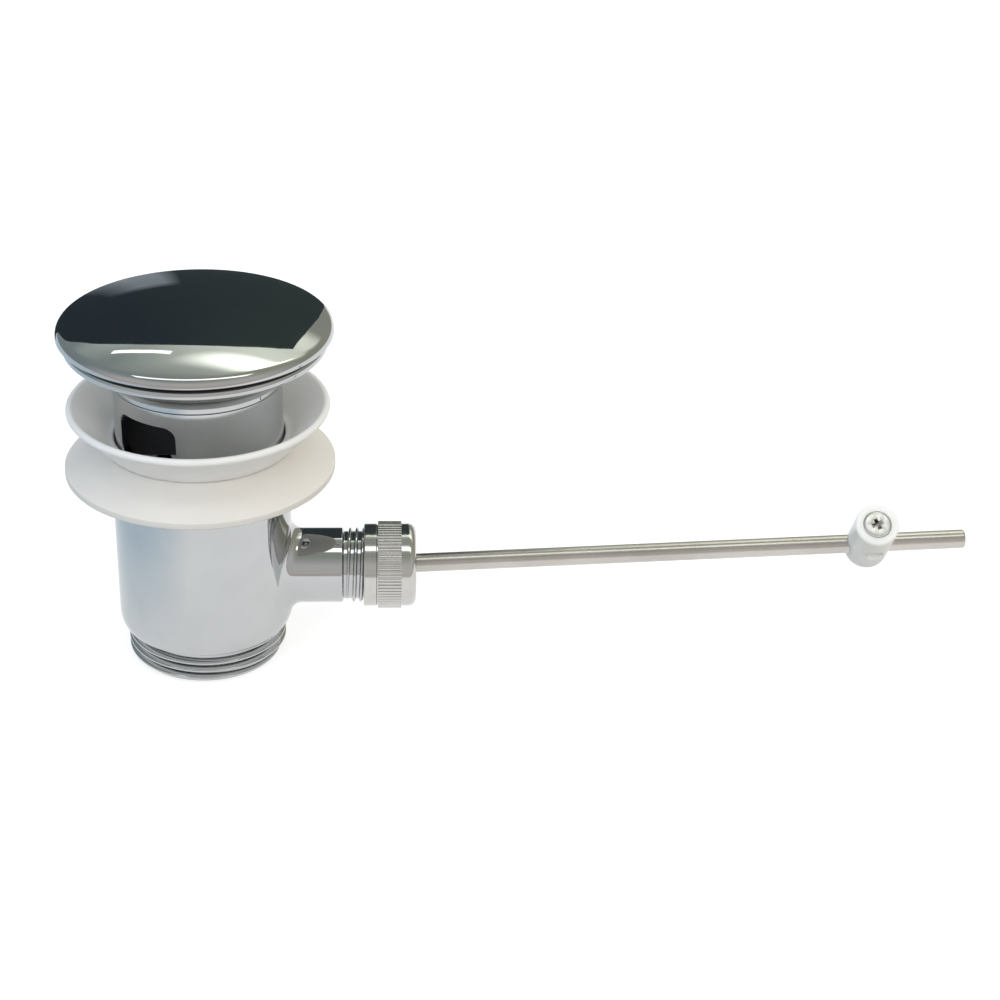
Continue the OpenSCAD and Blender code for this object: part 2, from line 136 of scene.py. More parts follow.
class WasteFinish(bpy.types.PropertyGroup):
    """Colours of the finishes."""
    chrome: tint((0.56, 0.57, 0.575), "Chrome", "Polished chrome plate")
    nickel: tint((0.65, 0.64, 0.62), "Nut plate", "Satin plate on the gland nut")
    steel: tint((0.62, 0.585, 0.55), "Rod steel", "Drawn stainless steel")
    zinc: tint((0.86, 0.85, 0.83), "Screw zinc", "Zinc plate on screws and the lock nut")
    white: tint((0.89, 0.885, 0.875), "White seal", "Moulded white plastic of the cup seal")
    washer: tint((0.76, 0.735, 0.7), "White washer", "Moulded white plastic of the tapered washer")
    nylon: tint((0.92, 0.915, 0.875), "Clip nylon", "Milky nylon of the clip")
    acetal: tint((0.78, 0.77, 0.73), "Ball plastic", "Smooth plastic of the ball and its seats")
    # Near-black plastic. It is kept this dark partly as painted shade, so that the cap plate's edge reads as
    # the shadowed gap under the cap rim.
    grey: tint((0.045, 0.046, 0.05), "Grey plastic", "Plastic of the plug stem and the cap plate")
    rubber: tint((0.022, 0.022, 0.023), "Rubber", "Rubber of the sealing rings")


class WasteStage(bpy.types.PropertyGroup):
    """Lens, lights and floor."""
    lens: FloatProperty(name="Lens", description="Focal length of the camera", default=75.28,
                        unit="CAMERA")
    lamp: FloatProperty(name="Softbox", description="Power of the large softbox", default=6.3,
                        unit="POWER")
    sky: FloatProperty(name="Room light", description="Strength of the room light", default=0.55)
    floor: tint((0.36, 0.36, 0.35), "Floor", "Colour that the floor throws back on the part")


def sizes():
    """The sizes in millimetres."""
    group = bpy.context.scene.waste_sizes
    return SimpleNamespace(**{key: getattr(group, key) * 1000 for key in WasteSizes.__annotations__})


def spans(box):
    """Lowest and highest point and outer radius of a turned node, in millimetres."""
    return box[0].z * 1000, box[1].z * 1000, box[1].x * 1000


# Outlines

def polar(radius, turn, height=0.0):
    """A point at a turn round Z."""
    return Vector((radius * math.cos(turn), radius * math.sin(turn), height))


def arc(centre, radius, start, end, count):
    """Points on an arc, from one angle to another in degrees."""
    turns = [math.radians(start + (end - start) * i / count) for i in range(count + 1)]
    return [(centre[0] + radius * math.cos(t), centre[1] + radius * math.sin(t)) for t in turns]


def softened(corners, closed=True, step=11):
    """An outline whose corners (x, y, radius) become arcs."""
    count = len(corners)
    path = []
    for i, corner in enumerate(corners):
        here = Vector(corner[:2])
        radius = corner[2] if len(corner) > 2 else 0
        if radius == 0 or (not closed and i in (0, count - 1)):
            path.append(tuple(here))
            continue
        back = Vector(corners[i - 1][:2]) - here
        ahead = Vector(corners[(i + 1) % count][:2]) - here
        half = back.angle(ahead) / 2
        reach = min(radius / math.tan(half), 0.49 * back.length, 0.49 * ahead.length)
        radius = reach * math.tan(half)
        middle = here + (back.normalized() + ahead.normalized()).normalized() * radius / math.sin(half)
        first = here + back.normalized() * reach - middle
        last = here + ahead.normalized() * reach - middle
        sweep = math.atan2(first.x * last.y - first.y * last.x, first.dot(last))
        start = math.atan2(first.y, first.x)
        parts = max(2, math.ceil(abs(math.degrees(sweep)) / step))
        path += arc(middle, radius, math.degrees(start), math.degrees(start + sweep), parts)
    return path


def held(path, closed=True, near=0.12):
    """The outline with a point close to both ends of each long straight, which keeps it flat."""
    out = []
    for i, here in enumerate(path):
        out.append(here)
        if i == len(path) - 1 and not closed:
            break
        a, b = Vector(here), Vector(path[(i + 1) % len(path)])
        if (b - a).length > 5 * near:
            out += [tuple(a + (b - a).normalized() * near), tuple(b - (b - a).normalized() * near)]
    return out


# Surfaces

class Shell:
    """Corners and faces of a piece, in millimetres."""

    def __init__(self):
        self.points = []
        self.faces = []

    def grid(self, rows, closed=False, skip=None):
        """Quads between rows of points, with the cells left out that skip names."""
        starts = []
        for row in rows:
            starts.append((len(self.points), len(row)))
            self.points += [tuple(p) for p in row]
        for j in range(len(rows) - 1):
            (a, m), (b, n) = starts[j], starts[j + 1]
            span = max(m, n)
            for i in range(span if closed else span - 1):
                if skip and skip(j, i):
                    continue
                k = (i + 1) % span
                corners = [a + (i if m > 1 else 0), a + (k if m > 1 else 0),
                           b + (k if n > 1 else 0), b + (i if n > 1 else 0)]
                self.faces.append(tuple(dict.fromkeys(corners)))
        return self

    def turn(self, path, angles=160, closed=True, place=None, skip=None):
        """A path of (radius, height) turned about Z, then placed."""
        if isinstance(angles, int):
            angles = [math.tau * i / angles for i in range(angles)]
        place = place or Matrix.Identity(4)
        rows = []
        for radius, height in path + (path[:1] if closed else []):
            ring = angles if radius > 1e-6 else [0]
            rows.append([place @ polar(radius, t, height) for t in ring])
        return self.grid(rows, True, skip)

    def mesh(self, name, finish=None, flat=38):
        """The mesh in metres, welded, facing outwards and smooth up to an angle between faces."""
        made = bpy.data.meshes.new(name)
        made.from_pydata([[x / 1000 for x in p] for p in self.points], [], self.faces)
        return cleaned(made, finish, flat)


def cleaned(made, finish=None, flat=38):
    """A mesh with its seams welded, no loose points, and its faces turned outwards."""
    work = bmesh.new()
    work.from_mesh(made)
    bmesh.ops.remove_doubles(work, verts=work.verts, dist=4e-7)
    bmesh.ops.dissolve_degenerate(work, edges=work.edges, dist=1e-8)
    loose = [point for point in work.verts if not point.link_faces]
    bmesh.ops.delete(work, geom=loose, context="VERTS")
    bmesh.ops.recalc_face_normals(work, faces=work.faces)
    work.to_mesh(made)
    work.free()
    made.shade_smooth()
    made.set_sharp_from_angle(angle=math.radians(flat))
    if finish:
        made.materials.clear()
        made.materials.append(finish)
    return made


def piece(name, mesh, body, slot, *nodes):
    """An object of that mesh, which rides on a body and stands for nodes."""
    made = bpy.data.objects.new(name, mesh)
    bpy.context.scene.collection.objects.link(made)
    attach(made, body)
    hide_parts(*nodes)


def lathe(name, body, slot, stands_for, path, count, place=None, closed=True, look=None):
    """A piece turned from a path of (radius, height)."""
    mesh = Shell().turn(path, count, closed=closed, place=place).mesh(name, finish(look or slot))
    piece(name, mesh, body, slot, stands_for)


def evaluated(mesh, finish, *modifiers, flat=38):
    """The mesh after modifiers, each given as (type, settings or a function that sets it)."""
    work = bpy.data.objects.new("workpiece", mesh)
    bpy.context.scene.collection.objects.link(work)
    for kind, settings in modifiers:
        made = work.modifiers.new(kind.lower(), kind)
        if callable(settings):
            settings(made)
            continue
        for key, value in settings.items():
            setattr(made, key, value)
    bpy.context.view_layer.update()
    graph = bpy.context.evaluated_depsgraph_get()
    result = bpy.data.meshes.new_from_object(work.evaluated_get(graph))
    result.name = mesh.name
    bpy.data.objects.remove(work)
    return cleaned(result, finish, flat)


def along_branch(s):
    """Turns Z to the branch axis."""
    return Matrix.Translation((0, 0, s.branch_height)) @ Matrix.Rotation(math.pi / 2, 4, "Y")


def axis_of(joint):
    """The axis of a joint at rest."""
    return Vector(next(j["axis"] for j in frame["joints"] if j["name"] == joint)).normalized()


def rod_tilt():
    """Upward tilt of the rod at rest, from the joint of the clip that slides along it."""
    axis = axis_of("clip_slide")
    return math.atan2(axis.z, axis.x)


def lever_place(s):
    """Puts the ball at the origin and the rod along X."""
    return Matrix.Translation((s.ball_place, 0, s.branch_height)) @ Matrix.Rotation(-rod_tilt(), 4, "Y")


def along_rod(s):
    """Turns Z along the rod, from the ball."""
    return lever_place(s) @ Matrix.Rotation(math.pi / 2, 4, "Y")


def clip_place(s):
    """Puts the rod axis at the origin and the clip screw along Z."""
    axis = axis_of("clip_screw_turn")
    along = (lever_place(s).to_3x3() @ Vector((1, 0, 0))).normalized()
    turn = Matrix((along, axis.cross(along), axis)).transposed().to_4x4()
    return Matrix.Translation(lever_place(s) @ Vector((s.clip_place, 0, 0))) @ turn


# Nodes

def node(tree, kind, inputs=(), **settings):
    """A node with its settings, whose inputs get values or links."""
    made = tree.nodes.new(kind)
    for key, value in settings.items():
        setattr(made, key, value)
    for key, value in dict(inputs).items():
        if isinstance(value, bpy.types.NodeSocket):
            tree.links.new(value, made.inputs[key])
        else:
            made.inputs[key].default_value = value
    return made


def calc(tree, kind, first, second=0.0):
    """The output of a math node."""
    return node(tree, "ShaderNodeMath", {0: first, 1: second}, operation=kind).outputs[0]


def ramp(tree, value, start, end, low=0.0, high=1.0, shape="LINEAR"):
    """A value spread from one range to another and held at both ends."""
    return node(tree, "ShaderNodeMapRange", {
        "Value": value, "From Min": start, "From Max": end, "To Min": low, "To Max": high},
        interpolation_type=shape).outputs[0]


def blend(tree, share, first, second, kind="MIX"):
    """Two colours mixed by a share."""
    return node(tree, "ShaderNodeMix", {"Factor": share, 6: first, 7: second},
                data_type="RGBA", blend_type=kind).outputs[2]


def layered(tree, share, first, second):
    """Two shaders mixed by a share."""
    return node(tree, "ShaderNodeMixShader", {0: share, 1: first, 2: second}).outputs[0]


def tree_of(name, kind, inputs, outputs):
    """An empty node group with its sockets, and its input and output nodes."""
    tree = bpy.data.node_groups.new(name, kind)
    for side, sockets in (("INPUT", inputs), ("OUTPUT", outputs)):
        for label, form, value in sockets:
            socket = tree.interface.new_socket(label, in_out=side, socket_type="NodeSocket" + form)
            if value is not None:
                socket.default_value = value
    return tree, tree.nodes.new("NodeGroupInput"), tree.nodes.new("NodeGroupOutput")


@cache
def thread_tree():
    """Adds a screw thread round Z to the piece: a rounded ridge along a helix, faded at both ends."""
    tree, ins, outs = tree_of("Screw thread", "GeometryNodeTree", [
        ("Piece", "Geometry", None), ("Root Radius", "Float", 0.0195), ("Pitch", "Float", 0.0023),
        ("Depth", "Float", 0.0015), ("Turns", "Float", 3.5), ("Crest", "Float", 0.0004),
        ("Rounding", "Float", 0.0003), ("Start", "Vector", None), ("Rotation", "Rotation", None),
        ("Finish", "Material", None)], [("Piece", "Geometry", None)])
    get = ins.outputs
    helix = node(tree, "GeometryNodeCurveSpiral", {
        "Resolution": 96, "Rotations": get["Turns"], "Start Radius": get["Root Radius"],
        "End Radius": get["Root Radius"], "Height": calc(tree, "MULTIPLY", get["Pitch"], get["Turns"])})
    upright = node(tree, "GeometryNodeSetCurveNormal", {"Curve": helix.outputs[0]}, mode="Z_UP")
    along = node(tree, "GeometryNodeSplineParameter").outputs["Factor"]
    ends = calc(tree, "MINIMUM", along, calc(tree, "SUBTRACT", 1.0, along))
    fade = calc(tree, "MINIMUM", calc(tree, "ADD", calc(tree, "MULTIPLY", ends, 14.0), 0.05), 1.0)
    foot = calc(tree, "ADD", get["Crest"], calc(tree, "MULTIPLY", get["Depth"], 1.1))
    section = node(tree, "GeometryNodeCurvePrimitiveQuadrilateral", {
        "Height": get["Depth"], "Bottom Width": foot, "Top Width": get["Crest"], "Offset": 0.0},
        mode="TRAPEZOID")
    eased = node(tree, "GeometryNodeFilletCurve", {
        "Curve": section.outputs[0], "Count": 3, "Radius": get["Rounding"], "Limit Radius": True},
        mode="POLY")
    middle = node(tree, "ShaderNodeCombineXYZ", {0: calc(tree, "MULTIPLY", get["Depth"], -0.5)})
    facing = node(tree, "GeometryNodeTransform", {
        "Geometry": eased.outputs[0], "Translation": middle.outputs[0], "Rotation": (0, 0, math.pi / 2)})
    ridge = node(tree, "GeometryNodeCurveToMesh", {
        "Curve": upright.outputs[0], "Profile Curve": facing.outputs[0], "Scale": fade, "Fill Caps": True})
    return closed_off(tree, ridge, get, outs)


def knurl_tree():
    """Adds a straight knurl round Z to the piece: low round ridges side by side on a circle."""
    tree, ins, outs = tree_of("Straight knurl", "GeometryNodeTree", [
        ("Piece", "Geometry", None), ("Ridges", "Int", 72), ("Radius", "Float", 0.011),
        ("Ridge", "Float", 0.0005), ("Length", "Float", 0.006), ("Start", "Vector", None),
        ("Rotation", "Rotation", None), ("Finish", "Material", None)], [("Piece", "Geometry", None)])
    get = ins.outputs
    ring = node(tree, "GeometryNodeMeshCircle", {"Vertices": get["Ridges"], "Radius": get["Radius"]})
    prism = node(tree, "GeometryNodeMeshCylinder", {
        "Vertices": 12, "Side Segments": 1, "Radius": get["Ridge"], "Depth": get["Length"]},
        fill_type="NGON")
    place = node(tree, "GeometryNodeInputPosition")
    facing = node(tree, "FunctionNodeAlignRotationToVector", {"Vector": place.outputs[0]}, axis="X")
    ridges = node(tree, "GeometryNodeInstanceOnPoints", {
        "Points": ring.outputs[0], "Instance": prism.outputs[0], "Rotation": facing.outputs[0],
        "Scale": (0.6, 1, 1)})
    return closed_off(tree, ridges, get, outs)


def closed_off(tree, added, get, outs):
    """Ends a tree: the added form is placed, joined to the piece, made real and given one material."""
    placed = node(tree, "GeometryNodeTransform", {
        "Geometry": added.outputs[0], "Translation": get["Start"], "Rotation": get["Rotation"]})
    both = node(tree, "GeometryNodeJoinGeometry")
    for form in (placed.outputs[0], get["Piece"]):
        tree.links.new(form, both.inputs[0])
    real = node(tree, "GeometryNodeRealizeInstances", {0: both.outputs[0]})
    coloured = node(tree, "GeometryNodeSetMaterial", {"Geometry": real.outputs[0], "Material": get["Finish"]})
    tree.links.new(coloured.outputs[0], outs.inputs[0])
    return tree


def nodes_modifier(tree, values):
    """A setter for a Geometry Nodes modifier, with its inputs given by name."""
    keys = {s.name: s.identifier for s in tree.interface.items_tree if s.in_out == "INPUT"}

    def set_up(modifier):
        modifier.node_group = tree
        for name, value in values.items():
            modifier[keys[name]] = value
    return "NODES", set_up


def thread(metal, root, pitch, depth, turns, crest, rounding, start, facing=(0.0, 0.0, 0.0)):
    """A modifier that adds a screw thread, whose foot lies just inside the root. In millimetres."""
    sunk = 0.03
    sizes_of = {"Root Radius": root - sunk, "Depth": depth + sunk, "Pitch": pitch, "Crest": crest,
                "Rounding": rounding}
    return nodes_modifier(thread_tree(), {
        **{key: size / 1000 for key, size in sizes_of.items()}, "Turns": turns,
        "Start": [x / 1000 for x in start], "Rotation": facing, "Finish": metal})


# Finishes

@cache
def mottle_group():
    """Soft uneven patches, as handling leaves on plate and plastic."""
    tree, ins, outs = tree_of("Mottle", "ShaderNodeTree", [
        ("Scale", "Float", 60.0), ("Detail", "Float", 3.0), ("Low", "Float", 0.0), ("High", "Float", 1.0)],
        [("Value", "Float", None)])
    get = ins.outputs
    place = node(tree, "ShaderNodeTexCoord").outputs["Object"]
    cloud = node(tree, "ShaderNodeTexNoise", {
        "Vector": place, "Scale": get["Scale"], "Detail": get["Detail"], "Roughness": 0.55})
    spread = ramp(tree, cloud.outputs["Fac"], 0.3, 0.7, get["Low"], get["High"], "SMOOTHSTEP")
    tree.links.new(spread, outs.inputs[0])
    return tree


@cache
def drawn_group():
    """Fine parallel lines: long along one axis of the piece, close across it."""
    tree, ins, outs = tree_of("Drawn lines", "ShaderNodeTree", [
        ("Turn", "Vector", None), ("Closeness", "Vector", None)], [("Value", "Float", None)])
    get = ins.outputs
    place = node(tree, "ShaderNodeTexCoord").outputs["Object"]
    turned = node(tree, "ShaderNodeVectorRotate", {"Vector": place, "Rotation": get["Turn"]},
                  rotation_type="EULER_XYZ")
    close = node(tree, "ShaderNodeVectorMath", {0: turned.outputs[0], 1: get["Closeness"]},
                 operation="MULTIPLY")
    lines = node(tree, "ShaderNodeTexNoise", {"Vector": close.outputs[0], "Scale": 1.0, "Detail": 2.0})
    tree.links.new(lines.outputs["Fac"], outs.inputs[0])
    return tree


def finish_base(name, colour, roughness, metallic=0.0):
    """A new material with a Principled shader, and its tree and shader."""
    made = bpy.data.materials.new(name)
    made.use_nodes = True
    tree = made.node_tree
    shader = tree.nodes["Principled BSDF"]
    for key, value in (("Base Color", (*colour, 1)), ("Roughness", roughness), ("Metallic", metallic)):
        shader.inputs[key].default_value = value
    return made, tree, shader


def grouped(tree, group, **values):
    """The first output of a shader group with these values."""
    return node(tree, "ShaderNodeGroup", values, node_tree=group).outputs[0]


def uneven(tree, scale, detail, low=0.0, high=1.0):
    """Soft patches between two values."""
    return grouped(tree, mottle_group(), Scale=scale, Detail=detail, Low=low, High=high)


def shaded(tree, shader, mask, colour, darker):
    """Base colour that goes from darker to full by a mask."""
    deep = (*(c * darker for c in colour), 1)
    tree.links.new(blend(tree, mask, deep, (*colour, 1)), shader.inputs["Base Color"])


def bumped(tree, shader, height, strength, distance):
    """A bump from a height value."""
    bump = node(tree, "ShaderNodeBump", {"Strength": strength, "Distance": distance, "Height": height})
    tree.links.new(bump.outputs[0], shader.inputs["Normal"])


def colour_of(key):
    """A colour from the panel."""
    return tuple(getattr(bpy.context.scene.waste_finish, key))


def plated(name, key, roughness, gloss, tone, darker, waves=0.0):
    """Plated metal with faint patches of gloss and tone, and the slight waves of the metal below."""
    colour = colour_of(key)
    made, tree, shader = finish_base(name, colour, roughness, 1.0)
    tree.links.new(uneven(tree, *gloss), shader.inputs["Roughness"])
    shaded(tree, shader, uneven(tree, *tone), colour, darker)
    if waves:
        bumped(tree, shader, uneven(tree, 130.0, 1.0), waves, 0.0004)
    return made


def drawn(name, key, roughness, turn, closeness, gloss, tone, darker, relief):
    """Turned or drawn metal, with fine tool lines in one direction."""
    colour = colour_of(key)
    made, tree, shader = finish_base(name, colour, roughness, 1.0)
    lines = grouped(tree, drawn_group(), Turn=turn, Closeness=closeness)
    tree.links.new(ramp(tree, lines, 0, 1, *gloss), shader.inputs["Roughness"])
    shaded(tree, shader, uneven(tree, *tone), colour, darker)
    bumped(tree, shader, lines, *relief)
    return made


def plastic(name, key, roughness, grain, darker=0.95, translucent=0.0):
    """Moulded plastic: faint patches of tone and gloss over a fine mould grain."""
    colour = colour_of(key)
    made, tree, shader = finish_base(name, colour, roughness)
    gloss = uneven(tree, 90.0, 5.0, roughness - 0.06, roughness + 0.08)
    tree.links.new(gloss, shader.inputs["Roughness"])
    shaded(tree, shader, uneven(tree, 35.0, 4.0), colour, darker)
    bumped(tree, shader, uneven(tree, grain, 3.0), 0.12, 0.00006)
    if translucent:
        shader.inputs["Subsurface Weight"].default_value = translucent
        shader.inputs["Subsurface Radius"].default_value = (0.003, 0.003, 0.0027)
        shader.inputs["Subsurface Scale"].default_value = 1.0
    return made


FINISHES = {
    "chrome_plate": lambda: plated("polished_chrome", "chrome", 0.025, (55.0, 4.0, 0.012, 0.04),
                                   (110.0, 2.0), 0.965, 0.004),
    "zinc_screw": lambda: plated("bright_zinc", "zinc", 0.24, (700.0, 3.0, 0.3, 0.44), (420.0, 2.0), 0.85),
    "satin_nickel": lambda: drawn("turned_nickel", "nickel", 0.13, (0, 0, 0), (7000, 90, 90),
                                  (0.09, 0.18), (140.0, 3.0), 0.9, (0.08, 0.00006)),
    "stainless_rod": lambda: drawn("drawn_steel", "steel", 0.28, (0, rod_tilt(), 0), (25, 5200, 5200),
                                   (0.2, 0.36), (45.0, 4.0), 0.86, (0.12, 0.00005)),
    "white_seal": lambda: plastic("moulded_white", "white", 0.42, 1500.0, 0.95, 0.55),
    "white_washer": lambda: plastic("pressed_white", "washer", 0.46, 1500.0, 0.95, 0.3),
    "clip_nylon": lambda: plastic("milky_nylon", "nylon", 0.34, 1100.0, 0.93, 0.6),
    "ball_plastic": lambda: plastic("smooth_acetal", "acetal", 0.3, 1800.0),
    "grey_plastic": lambda: plastic("moulded_grey", "grey", 0.45, 1400.0),
    "black_rubber": lambda: plastic("soft_rubber", "rubber", 0.55, 2200.0, 0.8),
}


@cache
def finish(slot):
    """The material of a slot, made once."""
    return FINISHES[slot]()


# Pieces

def square_ring(across, up):
    """Points round a square from -1 to 1: along the bottom, the right side, the top and the left side."""
    ring = [(u, up[0]) for u in across[:-1]]
    ring += [(across[-1], v) for v in up[:-1]]
    ring += [(u, up[-1]) for u in across[:0:-1]]
    ring += [(across[0], v) for v in up[:0:-1]]
    return ring


def between(inner, outer, rings, surface):
    """Rows of points on a surface from a hole's edge to the rectangle round it."""
    rows = []
    for k in range(rings + 1):
        share = k / rings
        share = 0.55 * share + 0.45 * share * share
        rows.append([surface(a[0] + (b[0] - a[0]) * share, a[1] + (b[1] - a[1]) * share)
                     for a, b in zip(inner, outer)])
    return rows


# Tilt of the rod each way that its holes allow
TILT = math.radians(8.14)
# Turn of the tube's windows, and half the columns round each
WINDOW_TURN = math.radians(-126)
WINDOW_REACH = math.radians(36)
# Turn from Z to the branch axis
SIDEWAYS = (0.0, math.pi / 2, 0.0)
# In millimetres: end of the branch's smooth part, depth of its thread, wall of the outlet, depth of the
# tube's socket, step where tube and flange meet, and reach of both ball seats from the ball
SMOOTH_END = 36.1
BRANCH_THREAD = 0.95
OUTLET_WALL = 3
SOCKET = 11
STEP_OUT, STEP_DOWN = 1.2, 3
INNER_SEAT, OUTER_SEAT = 7, 6.2
# Columns round the body, and the grid of the window where the branch joins
COLUMNS = 144
HALF = 20
RISE = [-1, -0.97, -0.93, -0.885, -0.84, -0.8, -0.76, -0.68, -0.56, -0.42, -0.28, -0.14, 0,
        0.12, 0.24, 0.36, 0.48, 0.6, 0.7, 0.8, 0.88, 0.94, 0.985, 1]
ACROSS = [i / HALF for i in range(-HALF, HALF + 1)]


def rod_hole(s, reach, play):
    """Radius of a hole that the tilted rod clears at that distance from the ball."""
    return reach * math.tan(TILT) + s.rod / math.cos(TILT) + play


def open_path(corners):
    """A softened path with held edges that ends where its last corner is."""
    return held(softened(corners, closed=False), False)


def body_shell(s):
    """Barrel, collar and branch in one skin, with the branch blended in by a rolling ball."""
    shoulder, drop = 8.0, 3.5
    turn = math.tau / COLUMNS
    low, high = s.thread_top + 0.28, s.barrel_top - 4.2
    z0 = s.branch_height
    centre = (s.barrel - shoulder, s.thread_top + drop)

    def wall(z, grow=0.0):
        down = max(0, centre[1] - z)
        return centre[0] + math.sqrt((shoulder + grow) ** 2 - down ** 2)

    def height(v, bottom, top):
        return z0 + v * (top - z0 if v > 0 else z0 - bottom)

    edge = square_ring(ACROSS, RISE)
    angles = [math.atan2(v, u) for u, v in edge]
    rows_out = [height(v, low, high) for v in RISE]
    bottom_in, top_in = s.thread_top + 6.1, z0 + 11
    rows_in = [height(v, bottom_in, top_in) for v in RISE]

    root = s.thread_crest - s.thread_depth
    outlet = s.thread_crest - OUTLET_WALL
    socket_floor, socket = s.barrel_top - SOCKET - 0.1, s.tube_radius - 0.55
    outside = open_path([
        (outlet, 0, 0.25), (root, 0, 0.35), (root, s.thread_top, 0.3),
        (wall(s.thread_top), s.thread_top, 0.26), (wall(low), low)])[:-1]
    collar = open_path([
        (s.barrel, high), (s.barrel, s.barrel_top - 4.0, 1.5), (s.barrel + 2, s.barrel_top - 2.2, 1.0),
        (s.collar, s.barrel_top - 2.2, 0.35), (s.collar, s.barrel_top, 0.3), (socket, s.barrel_top, 0.3),
        (socket, socket_floor, 0.2), (s.barrel_bore, socket_floor, 0.2), (s.barrel_bore, top_in)])[1:-1]
    inside = open_path([
        (s.barrel_bore, bottom_in), (s.barrel_bore, s.thread_top + 6, 0.5), (outlet, s.thread_top + 2, 1.0),
        (outlet, 0.26)])[1:]
    path = outside + [(wall(z), z) for z in rows_out] + collar
    first_out = len(outside)
    first_in = len(path)
    path += [(s.barrel_bore, z) for z in reversed(rows_in)] + inside
    cells = len(RISE) - 1

    def open_cell(j, i):
        window = i < HALF or i >= COLUMNS - HALF
        return window and (first_out <= j < first_out + cells or first_in <= j < first_in + cells)

    shell = Shell().turn(path, [turn * i for i in range(COLUMNS)], closed=True, skip=open_cell)
    reach = HALF * turn

    def on_wall(theta, z):
        return polar(wall(z), theta, z)

    def on_bore(theta, z):
        return polar(s.barrel_bore, theta, z)

    ease = s.branch_blend
    body_line, rows = [], [[] for _ in range(10)]
    for t in angles:
        y, z = (s.branch + ease) * math.cos(t), z0 + (s.branch + ease) * math.sin(t)
        far = wall(z, ease)
        ball = Vector((math.sqrt(far ** 2 - y ** 2), y, z))
        down = max(0, centre[1] - z) * shoulder / (shoulder + ease)
        r = centre[0] + math.sqrt(shoulder ** 2 - down ** 2)
        on_body = Vector((ball.x * r / far, ball.y * r / far, centre[1] - down if z < centre[1] else z))
        on_branch = Vector((ball.x, s.branch * math.cos(t), z0 + s.branch * math.sin(t)))
        body_line.append((math.atan2(on_body.y, on_body.x), on_body.z))
        a, b = (on_body - ball).normalized(), (on_branch - ball).normalized()
        for k, row in enumerate(rows):
            row.append(ball + a.slerp(b, k / (len(rows) - 1)) * ease)
    frame_out = [(u * reach, height(v, low, high)) for u, v in edge]
    shell.grid(between(body_line, frame_out, 16, on_wall), True)
    shell.grid(rows, True)

    branch_root, pocket_floor = s.branch - BRANCH_THREAD, s.ball_place - INNER_SEAT
    steps = 12
    shell.grid([[(p.x + (SMOOTH_END - p.x) * k / steps, p.y, p.z) for p in rows[-1]]
                for k in range(steps + 1)], True)
    bore = rod_hole(s, s.ball_place - 17, 0.4)
    outline = open_path([
        (s.branch, SMOOTH_END), (s.branch, SMOOTH_END + 0.25, 0.2), (branch_root, SMOOTH_END + 0.7, 0.2),
        (branch_root, s.branch_end, 0.3), (s.pocket, s.branch_end, 0.25), (s.pocket, pocket_floor, 0.15),
        (bore, pocket_floor, 0.2), (bore, 30.0)])
    rings = [[(x, r * math.cos(t), z0 + r * math.sin(t)) for t in angles] for r, x in outline]
    shell.grid(rings, True)
    hole, mouth = [], []
    for t in angles:
        y, z = bore * math.cos(t), z0 + bore * math.sin(t)
        x = math.sqrt(s.barrel_bore ** 2 - y ** 2)
        hole.append((math.atan2(y, x), z))
        mouth.append((x, y, z))
    shell.grid([rings[-1], mouth], True)
    frame_in = [(u * reach, height(v, bottom_in, top_in)) for u, v in edge]
    shell.grid(between(hole, frame_in, 10, on_bore), True)
    return shell


class WASTE_OT_body(bpy.types.Operator):
    """Cast body: barrel, seat collar, side branch and their threads"""
    bl_idname = "waste.body"
    bl_label = "Body"

    def execute(self, context):
        s = sizes()
        metal = finish("chrome_plate")
        root = s.thread_crest - s.thread_depth
        outlet = thread(metal, root, s.thread_pitch, s.thread_depth, turns=3.35, crest=0.5, rounding=0.3,
                        start=(0, 0, 1.05))
        branch = thread(metal, s.branch - BRANCH_THREAD, 1.8, BRANCH_THREAD - 0.02, turns=6.0, crest=0.45,
                        rounding=0.25, start=(SMOOTH_END + 1.3, 0, s.branch_height), facing=SIDEWAYS)
        mesh = evaluated(body_shell(s).mesh("body", metal), metal, outlet, branch)
        piece("body", mesh, "waste", "chrome_plate", "waste_body")
        return {"FINISHED"}


